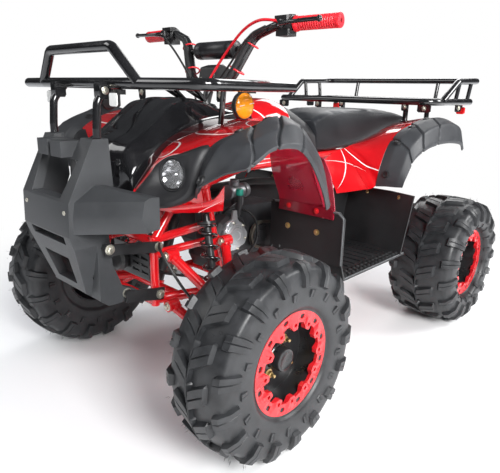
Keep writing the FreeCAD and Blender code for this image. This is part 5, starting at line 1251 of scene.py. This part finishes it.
seat_vinyl = finish("seat_vinyl", (0.022, 0.024, 0.028), 0.45, grain=0.12, grain_size=700, mottle=0.15,
                    mottle_size=9)
tree = seat_vinyl.node_tree
place = wired(tree, "TexCoord")
waves = []
for lean in (1, -1):
    phase = wired(tree, "VectorMath", {0: place.outputs["Object"], 1: (0, 1250, 1250 * lean)},
                  operation="DOT_PRODUCT")
    waves.append(wired(tree, "Math", {0: phase.outputs["Value"]}, operation="SINE"))
diamonds = wired(tree, "Math", {0: waves[0].outputs[0], 1: waves[1].outputs[0]}, operation="MULTIPLY")
turned = wired(tree, "SeparateXYZ", {0: place.outputs["Normal"]})
sideways = wired(tree, "Math", {0: turned.outputs[0]}, operation="ABSOLUTE")
mask = wired(tree, "MapRange", {"Value": sideways.outputs[0], "From Min": 0.5, "From Max": 0.75})
relief = wired(tree, "Math", {0: diamonds.outputs[0], 1: mask.outputs[0]}, operation="MULTIPLY")
under = tree.nodes["Principled BSDF"].inputs["Normal"].links[0].from_socket
pressed = wired(tree, "Bump",
                {"Height": relief.outputs[0], "Strength": 1.0, "Distance": 0.0014, "Normal": under})
tree.links.new(pressed.outputs[0], tree.nodes["Principled BSDF"].inputs["Normal"])
stations = []
for y, side_z, top_z, share, floor_z in ((-467, 600, 716, 0.74, 618.4), (-397, 630, 738, 0.9, 619.2),
                                         (-267, 646, 748, 1, 622.3), (-107, 686, 742, 1, 628.9),
                                         (23, 694, 728, 0.94, 634.2), (123, 690, 712, 0.78, 637.9)):
    half = 142 * share
    pan = min(112, half - 4)
    side_z = max(side_z, floor_z + 2)
    loop_right = [(0, floor_z), (pan, floor_z), (half, side_z), (half, (side_z + top_z) / 2 + 10),
                  (half * 0.8, top_z), (half * 0.4, top_z), (0, top_z)]
    stations.append([(x, y, z) for x, z in loop_right] + [(-x, y, z) for x, z in loop_right[-2:0:-1]])
rows = curve(rear(*stations), 64)
section = softened(np.concatenate([rows, rows[:, :1]], 1).transpose(1, 0, 2), 0.34)
section = spread(section, 72).transpose(1, 0, 2)[:, :-1]
middle_line = section.mean(1, keepdims=True)
CAP_SHARES = (0.35, 0.7, 0.9)
front_cap = [middle_line[:1] + (section[:1] - middle_line[:1]) * share for share in CAP_SHARES]
back_cap = [middle_line[-1:] + (section[-1:] - middle_line[-1:]) * share for share in CAP_SHARES[::-1]]
section = np.concatenate(front_cap + [section] + back_cap)
points, faces = grid(section, around=True)
count = section.shape[1]
last = len(points) - count
SAMPLE = 10  # a row well inside the seat, where a face's side is tried
corner = section[SAMPLE, 0]
outwards = corner - middle_line[SAMPLE - len(CAP_SHARES), 0]
inward = np.cross(section[SAMPLE, 1] - corner, section[SAMPLE + 1, 0] - corner) @ outwards
faces += [list(range(count)), list(range(last, last + count))[::-1]]
if inward > 0:
    faces = [face[::-1] for face in faces]
seat = piece("seat_cushion", [(points, faces)], seat_vinyl, "seat", sharp=60)
# The foam is blown up a little under its cover: a cloth with pressure on an even mesh, 20 steps,
# and no point may move further than the cap or lower than the pan.
VOXEL, STEPS, CAP = 0.006, 20, 0.005
even = seat.modifiers.new("even", "REMESH")
even.mode = "VOXEL"
even.voxel_size = VOXEL
even.use_smooth_shade = True
depsgraph = bpy.context.evaluated_depsgraph_get()
mesh = bpy.data.meshes.new_from_object(seat.evaluated_get(depsgraph))
seat.modifiers.clear()
seat.data = mesh
before = np.empty(len(mesh.vertices) * 3)
mesh.vertices.foreach_get("co", before)
before = before.reshape(-1, 3)
middle_of = before.mean(0)
mesh.vertices.foreach_set("co", (middle_of + (before - middle_of) * (0.975, 0.99, 0.975)).ravel())
cover = seat.modifiers.new("cover", "CLOTH")
cover.settings.use_pressure = True
cover.settings.uniform_pressure_force = 4
cover.settings.effector_weights.gravity = 0
cover.point_cache.frame_start, cover.point_cache.frame_end = 1, STEPS
for step in range(1, STEPS + 1):
    scene.frame_set(step)
depsgraph = bpy.context.evaluated_depsgraph_get()
blown = bpy.data.meshes.new_from_object(seat.evaluated_get(depsgraph))
scene.frame_set(1)
seat.modifiers.clear()
after = np.empty(len(blown.vertices) * 3)
blown.vertices.foreach_get("co", after)
after = after.reshape(-1, 3)
move = after - before
size = np.linalg.norm(move, axis=1)[:, None]
after = before + move * np.minimum(1, CAP / np.maximum(size, 1e-9))
low, high = before.min(0), before.max(0)
after = np.clip(after, low, high)
blown.vertices.foreach_set("co", after.ravel())
blown.shade_smooth()
seat.data = blown
fuller = seat.modifiers.new("fuller", "SUBSURF")
fuller.levels = fuller.render_levels = 1
tank_red = lacquered("tank_red",
                     [((0.10, -0.30, 0.62), 0.185, 0.0022, (0.08, -0.15, 0.74), 0.14),
                      ((0.00, 0.10, 0.60), 0.215, 0.0022, (0.08, -0.05, 0.74), 0.13),
                      ((0.20, -0.12, 0.86), 0.135, 0.0018, (0.09, -0.10, 0.76), 0.12)])
tank_rows = []
for share, top_z, half, floor_z in ((0, 768, 88, 614.8), (0.333, 782, 100, 616), (0.63, 762, 104, 617.2),
                                    (1, 716, 104, 618.4)):
    y = -229.5 + share * 268.7
    right_side = [(half, y, floor_z), (half * 0.97, y, (floor_z + top_z - 42) / 2),
                  (half * 0.92, y, top_z - 42), (half * 0.5, y, top_z - 2), (0, y, top_z)]
    tank_rows.append(right_side + [(-x, y, z) for x, y, z in right_side[-2::-1]])
tank = surface(mid(*tank_rows), 60, 60, 0.4)[..., :3]
piece("tank_shell", [shell(tank[:35], 0.0035, (0, 0, 1))], tank_red, "tank_cover", sharp=40)
piece("tank_rear_shell", [shell(tank[34:], 0.0032, (0, 0, 1))], matt_black, sharp=40)

# Splash panels: clear red moulded sheet between the front flare and the footwell, folded near its outer
# edge. The strip along its foot is doubled and takes two small bolts.
panel_red = finish("panel_red", (0.52, 0.018, 0.05), 0.16, grain=0.03, grain_size=60, mottle=0.12,
                   mottle_size=5, coat=0.5, alpha=0.72)
splash_rows = front([(168, 296.2, 484), (275, 296.2, 484), (322, 296.2, 484), (352, 296.2, 484)],
                    [(168, 296.2, 516), (275, 296.2, 516), (322, 296.2, 516), (354, 297, 516)],
                    [(176, 250.5, 600), (275, 246.5, 604), (322, 248.5, 603), (366, 254.5, 600)],
                    [(196, 216.5, 656), (275, 220.5, 664), (320, 221.5, 661), (364, 222.5, 650)])
fine = surface(splash_rows, 60, 40, 0.16)
fold = 0.0035 * bump_at(fine[..., 4], 2.0, 0.07, 0.8)
splash = fine[..., :3] + facing(fine[..., :3], (0, -1, 0.3)) * fold[..., None]
piece("splash_sheets", both([shell(splash, 0.003, (0, -1, 0.3))]), panel_red,
      "splash_panels", sharp=30)
strip_red = finish("strip_red", (0.22, 0.008, 0.02), 0.2, grain=0.05, grain_size=100, mottle=0.2, coat=0.4)
strips = both([plate(front((170, 295.6, 485), (352, 295.6, 485), (352, 295.6, 508), (348, 295.6, 514),
                           (172, 295.6, 514)), (0, -0.0022, 0))])
piece("splash_strips", strips, strip_red, sharp=30)
strip_bolts = []
for x in (205, 300):
    strip_bolts += bolt(front((x, 293.4, 500))[0], (0, -1, 0), 0.0062, 0.004)
piece("splash_bolts", both(strip_bolts), ring_red, sharp=25)

# Footwells: black moulded trays that rest on the red side bars, each with a wall in front and behind, a
# rolled rim and rubber studs along the outer edge of the floor. The rims are coloured grey: a painted
# highlight where the trays' front and outer edges catch the light.
well_black = finish("well_black", (0.012, 0.012, 0.013), 0.42, grain=0.4, grain_size=460, mottle=0.3,
                    mottle_size=7)
eased("footwell_trays", "footwells", well_black, 0.0025)
# Grey for the rolled rims: a painted highlight along the lit edges of the black trays.
rim_highlight_grey = finish("rim_highlight_grey", (0.12, 0.125, 0.13), 0.4, grain=0.3, grain_size=500, mottle=0.2)
WALL_Y = -0.169
rims = both([pipe([(0.3815, WALL_Y + 0.001, 0.365), (0.3815, WALL_Y + 0.001, 0.49),
                   (0.366, WALL_Y + 0.001, 0.5035), (0.15, WALL_Y + 0.001, 0.5035)], 0.0030, 0.008, 10),
             pipe([(0.382, -0.15, 0.3215), (0.382, 0.186, 0.3215)], 0.003, 0.01, 10)])
piece("footwell_rims_painted_highlight", rims, rim_highlight_grey, sharp=40)
studs = []
for i in range(15):
    y = -0.125 + i * 0.0205
    studs.append(lathe((0.369, y, 0.321), (0, 0, 1),
                       [(0, 0.0072), (0.003, 0.0066), (0.007, 0.0052), (0.008, 0.003)], 8))
    studs.append(lathe((0.352, y + 0.01, 0.321), (0, 0, 1),
                       [(0, 0.0072), (0.003, 0.0066), (0.006, 0.0052), (0.007, 0.003)], 8))
for i in range(9):
    studs.append(plate([(0.19, -0.12 + i * 0.033, 0.3215), (0.335, -0.12 + i * 0.033, 0.3215),
                        (0.335, -0.113 + i * 0.033, 0.3215), (0.19, -0.113 + i * 0.033, 0.3215)],
                       (0, 0, 0.004)))
piece("footwell_studs", both(studs), plug_black, sharp=30)
well_bolts = []
for place, run in (((0.3, WALL_Y - 0.001, 0.44), (0, -1, 0)), ((0.2, WALL_Y - 0.001, 0.44), (0, -1, 0)),
                   ((0.21, 0.2355, 0.485), (0, -1, 0.2)), ((0.33, 0.2245, 0.485), (-0.2, -1, 0.2))):
    well_bolts += bolt(place, run, 0.0065, 0.004)
piece("footwell_bolts", both(well_bolts), brassy, sharp=25)
bar = pipe(mid((123.3, -98.9, 270), (143.3, -98.9, 270), (230, -98.9, 306.4), (345, -57.7, 306.4),
               (345, 98.9, 306.4), (230, 127.7, 306.4), (143.3, 127.7, 270), (123.3, 127.7, 270)), 0.011,
           0.04, 16)
piece("side_bar_tubes",
      both([bar, weld(mid((126, -98.9, 270))[0], (1, 0, 0), 0.011),
            weld(mid((126, 127.7, 270))[0], (1, 0, 0), 0.011)]), frame_red, "side_bars",
      sharp=40)

# Reflectors: round amber ones in black rubber housings under the front rack's sides, and small square
# ones, clear in front and red behind, on stays under the racks.
amber = finish("amber_lens", (1.0, 0.30, 0.012), 0.14, grain=0.35, grain_size=260, mottle=0.12,
               mottle_size=40, coat=0.7)
lens_white = finish("lens_white", (0.82, 0.82, 0.8), 0.2, grain=0.3, grain_size=320, mottle=0.1,
                    mottle_size=50, coat=0.6)
lens_red = finish("lens_red", (0.72, 0.01, 0.012), 0.15, grain=0.3, grain_size=320, mottle=0.15,
                  mottle_size=50, coat=0.7)
centre = front((262, 39, 770.7))[0]
housing = [lathe(centre, (1, 0, 0),
                 [(0, 0.024), (0.002, 0.0285), (0.010, 0.0298), (0.0135, 0.0298), (0.0145, 0.0285),
                  (0.0145, 0.027)], 40),
           plate(front((262, 31, 797), (262, 81, 797), (262, 81, 803), (262, 31, 803)), (0.008, 0, 0)),
           plate(front((263, 34, 790), (263, 44, 790), (263, 44, 800), (263, 34, 800)), (0.006, 0, 0))]
glow_lens = lathe(centre + (0.012, 0, 0), (1, 0, 0),
                  [(0, 0.0282), (0.002, 0.028), (0.0045, 0.0262), (0.0072, 0.021), (0.009, 0.013),
                   (0.0098, 0.005), (0.0099, 0.0004)], 40)
piece("side_reflector_housings", both(housing), plug_black, "amber_reflectors", sharp=35)
piece("side_reflector_lenses", both([glow_lens]), amber, sharp=50)
# A thin white slanted bar in front of each amber lens: a painted highlight, the glint on the domed lens drawn
# as a white sheet.
piece("side_reflector_painted_glints",
      both([plate([centre + (0.0203, -0.022, -0.0006), centre + (0.0203, 0.022, 0.0054),
                   centre + (0.0203, 0.022, 0.0066), centre + (0.0203, -0.022, 0.0006)],
                  (0.0012, 0, 0))]), lens_white, sharp=30)
square_ones = (("front_reflector", front, ((126, 150), (-199, -191), (766, 794)),
                ((124, 152), (-201, -199), (767, 793)), (130, -193, 790, 146, -175, 800),
                plug_black, "soft_black", lens_white, "white_lens"),
               ("rear_reflector", rear, ((269, 297), (195, 203), (732, 758)),
                ((268, 298), (203, 205), (733, 757)), (276, 187, 755, 290, 197, 765),
                lens_red, "red_lens", lens_red, "red_lens"))
for name, at, back_box, lens_box, stay, box_paint, box_slot, make, slot_name in square_ones:
    shapes = []
    for (x0, x1), (y0, y1), (z0, z1) in (back_box, lens_box):
        outline = [(x0 + 3, y0, z0), (x1 - 3, y0, z0), (x1, y0, z0 + 3), (x1, y0, z1 - 3), (x1 - 3, y0, z1),
                   (x0 + 3, y0, z1), (x0, y0, z1 - 3), (x0, y0, z0 + 3)]
        shapes.append(plate(at(*outline), (0, (y1 - y0) * 0.001, 0)))
    x0, y0, z0, x1, y1, z1 = stay
    holder = plate(at((x0, y0, z0), (x1, y0, z0), (x1, y0, z1), (x0, y0, z1)), (0, (y1 - y0) * 0.001, 0))
    piece(name + "_stays", both([holder]), plug_black, name + "s", sharp=30)
    piece(name + "_boxes", both([shapes[0]]), box_paint, sharp=30)
    piece(name + "_lenses", both([shapes[1]]), make, sharp=30)

# Engine: a single-cylinder unit with the cylinder lying forward. Black castings with fins, a bare
# aluminium cover on the left, a flywheel drum, a carburettor on a short manifold and hoses above.
engine_black = finish("engine_black", (0.022, 0.022, 0.024), 0.36, grain=0.6, grain_size=240, mottle=0.3)
cast_silver = finish("cast_silver", (0.62, 0.63, 0.65), 0.36, grain=0.5, grain_size=300, mottle=0.18,
                     metallic=0.85)
eased("engine_castings", "engine", engine_black, 0.0025)
turns = np.linspace(0, 2 * math.pi, 72, endpoint=False)
hub_at = front((100.4, 182, 412))[0]
outline_radius = 0.045 + 0.0042 * np.clip(np.cos(3 * turns + 0.6) * 2, -0.7, 1)


def disc(scale, start, thick):
    ring = np.stack([0 * turns, np.sin(turns), np.cos(turns)], 1) * (outline_radius * scale)[:, None]
    return plate(hub_at + (start, 0, 0) + ring, (thick, 0, 0))


cover_parts = [disc(1.0, 0, 0.006), disc(0.93, 0.006, 0.004),
               lathe(hub_at + (0.0095, 0, 0), (1, 0, 0),
                     [(0, 0.034), (0.002, 0.0335), (0.003, 0.030), (0.003, 0.026), (0.0062, 0.024),
                      (0.0062, 0.015), (0.004, 0.0135), (0.004, 0.002)], 44),
               plate(front((100.5, 170, 452), (100.5, 176, 484), (100.5, 190, 484), (100.5, 195, 450),
                           (100.5, 182, 446)), (0.0055, 0, 0))]
cover_bolts = []
for k in range(6):
    turn = -0.2 + k * math.pi / 3
    cover_bolts += bolt(hub_at + (0.0098, 0.0385 * math.sin(turn), 0.0385 * math.cos(turn)), (1, 0, 0),
                        0.0042, 0.0035, False)
piece("engine_side_cover", cover_parts, cast_silver, "engine_cover", sharp=35)
piece("engine_cover_bolts", cover_bolts, zinc, sharp=25)
carb = [lathe(front((40, 257, 478))[0], (0, 0, 1),
              [(0, 0.017), (0.008, 0.018), (0.020, 0.018), (0.022, 0.0165), (0.036, 0.0165)], 24),
        lathe(front((40, 215, 520))[0], (0, 1, 0),
              [(0, 0.020), (0.003, 0.022), (0.010, 0.022), (0.012, 0.0185), (0.060, 0.0185),
               (0.062, 0.022), (0.075, 0.022), (0.078, 0.020)], 28),
        lathe(front((40, 244, 538))[0], (0, 0, 1),
              [(0, 0.015), (0.012, 0.015), (0.013, 0.0128), (0.018, 0.0128)], 24)]
cast_dark = finish("cast_dark", (0.26, 0.26, 0.27), 0.42, grain=0.5, grain_size=300, mottle=0.25,
                   metallic=0.7)
piece("carburettor_body", carb, cast_dark, "carburettor", sharp=35)
piece("carburettor_cap",
      [lathe(front((40, 244, 540))[0], (0, 0, 1),
             [(0, 0.0118), (0.014, 0.0118), (0.0165, 0.010), (0.0175, 0.004)], 14)], engine_black,
      sharp=35)
cap_green = finish("cap_green", (0.01, 0.42, 0.30), 0.32, grain=0.1, mottle=0.12, coat=0.2)
piece("vent_cap",
      [lathe((0.102, -0.266, 0.524), (0, 0, 1),
             [(0, 0.0095), (0.003, 0.0105), (0.016, 0.0105), (0.0175, 0.0095), (0.0178, 0.002)], 22)],
      cap_green, sharp=35)
piece("vent_pipe",
      [pipe([(0.102, -0.266, 0.527), (0.102, -0.266, 0.500), (0.090, -0.262, 0.462),
             (0.052, -0.262, 0.452)], 0.0085, 0.02, 16)], engine_black, sharp=35)
cable("fuel_hose",
      [(58, 250, 520), (84, 236, 522), (98, 214, 512), (92, 184, 494), (74, 172, 478), (58, 176, 462)],
      0.0036, cable_black, "chassis")
cable("plug_lead",
      [(54, 116, 440), (72, 112, 448), (84, 122, 474), (78, 146, 502), (58, 168, 524), (40, 196, 540)],
      0.0035, cable_black, "chassis")
cable("gear_cable",
      [(70, 226, 474), (96, 246, 474), (112, 262, 448), (116, 268, 408), (106, 266, 366), (84, 262, 340)],
      0.0034, cable_black, "chassis")
for side, body_letter in ((1, "l"), (-1, "r")):
    hose_line = curve(front((side * 128, -92, 452), (side * 150, -104, 440), (side * 186, -96, 392),
                            (side * 206, -70, 338), (side * 226, -40, 296), (side * 262, -26, 268),
                            (side * 292, -20, 262)), 60)
    hose = piece("brake_hose_" + body_letter, [swept(hose_line, 0.0035, 10)], cable_black,
                 sharp=60, body=None)
    tuple(hose_line[20])
    tuple(hose_line[-4])
    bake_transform(hose)
    run = float(np.linalg.norm(np.diff(hose_line, axis=0), axis=1).sum())
    tuple(hose_line[0])
    [tuple(point) for point in hose_line]
exhaust_black = finish("exhaust_black", (0.02, 0.02, 0.02), 0.55, grain=0.4, grain_size=300, mottle=0.35)
can_start = rear((0, -267, 474))[0]
port = FRONT_AXLE + 0.127
pipe_line = [(-0.0548, port, 0.450), (-0.074, port, 0.450), (-0.080, port + 0.040, 0.512),
             (-0.076, port + 0.320, 0.512), (-0.066, can_start[1] - 0.090, 0.490),
             (-0.120, can_start[1] - 0.030, 0.474), (-0.172, can_start[1] + 0.022, 0.4755)]
can_axis = (0, 1, 0.08)
can = [(0, 0.014), (0.002, 0.0185), (0.024, 0.0405), (0.030, 0.0412), (0.034, 0.042), (0.044, 0.042),
       (0.048, 0.0405), (0.256, 0.0405), (0.260, 0.042), (0.272, 0.042), (0.280, 0.041), (0.303, 0.0195),
       (0.305, 0.016), (0.305, 0.0105), (0.28, 0.010)]
muffler_parts = [pipe(pipe_line, 0.012, 0.03, 16),
                 lathe((-0.172, can_start[1], 0.474), can_axis, can, 32),
                 plate([(-0.15, can_start[1] + 0.128, 0.487), (-0.15, can_start[1] + 0.152, 0.487),
                        (-0.15, can_start[1] + 0.152, 0.509), (-0.15, can_start[1] + 0.128, 0.509)],
                       (0.0355, 0, 0))]
piece("muffler_can", muffler_parts, exhaust_black, "muffler", sharp=35)

# Driveline: a live rear axle with its hubs, sprocket and disc, the roller chain, and the red swingarm,
# all taken as built and given rounded edges.
axle_black = finish("axle_black", (0.03, 0.03, 0.031), 0.4, grain=0.4, grain_size=300, mottle=0.3,
                    metallic=0.3)
chain_steel = finish("chain_steel", (0.20, 0.18, 0.15), 0.4, grain=0.3, grain_size=400, mottle=0.35,
                     metallic=0.8)
eased("axle_shaft", "rear_axle", axle_black, 0.0015, body="rear_axle")
eased("swingarm_weldment", "swingarm", frame_red, 0.002)
eased("drive_chain", "chain", chain_steel, 0.0008)
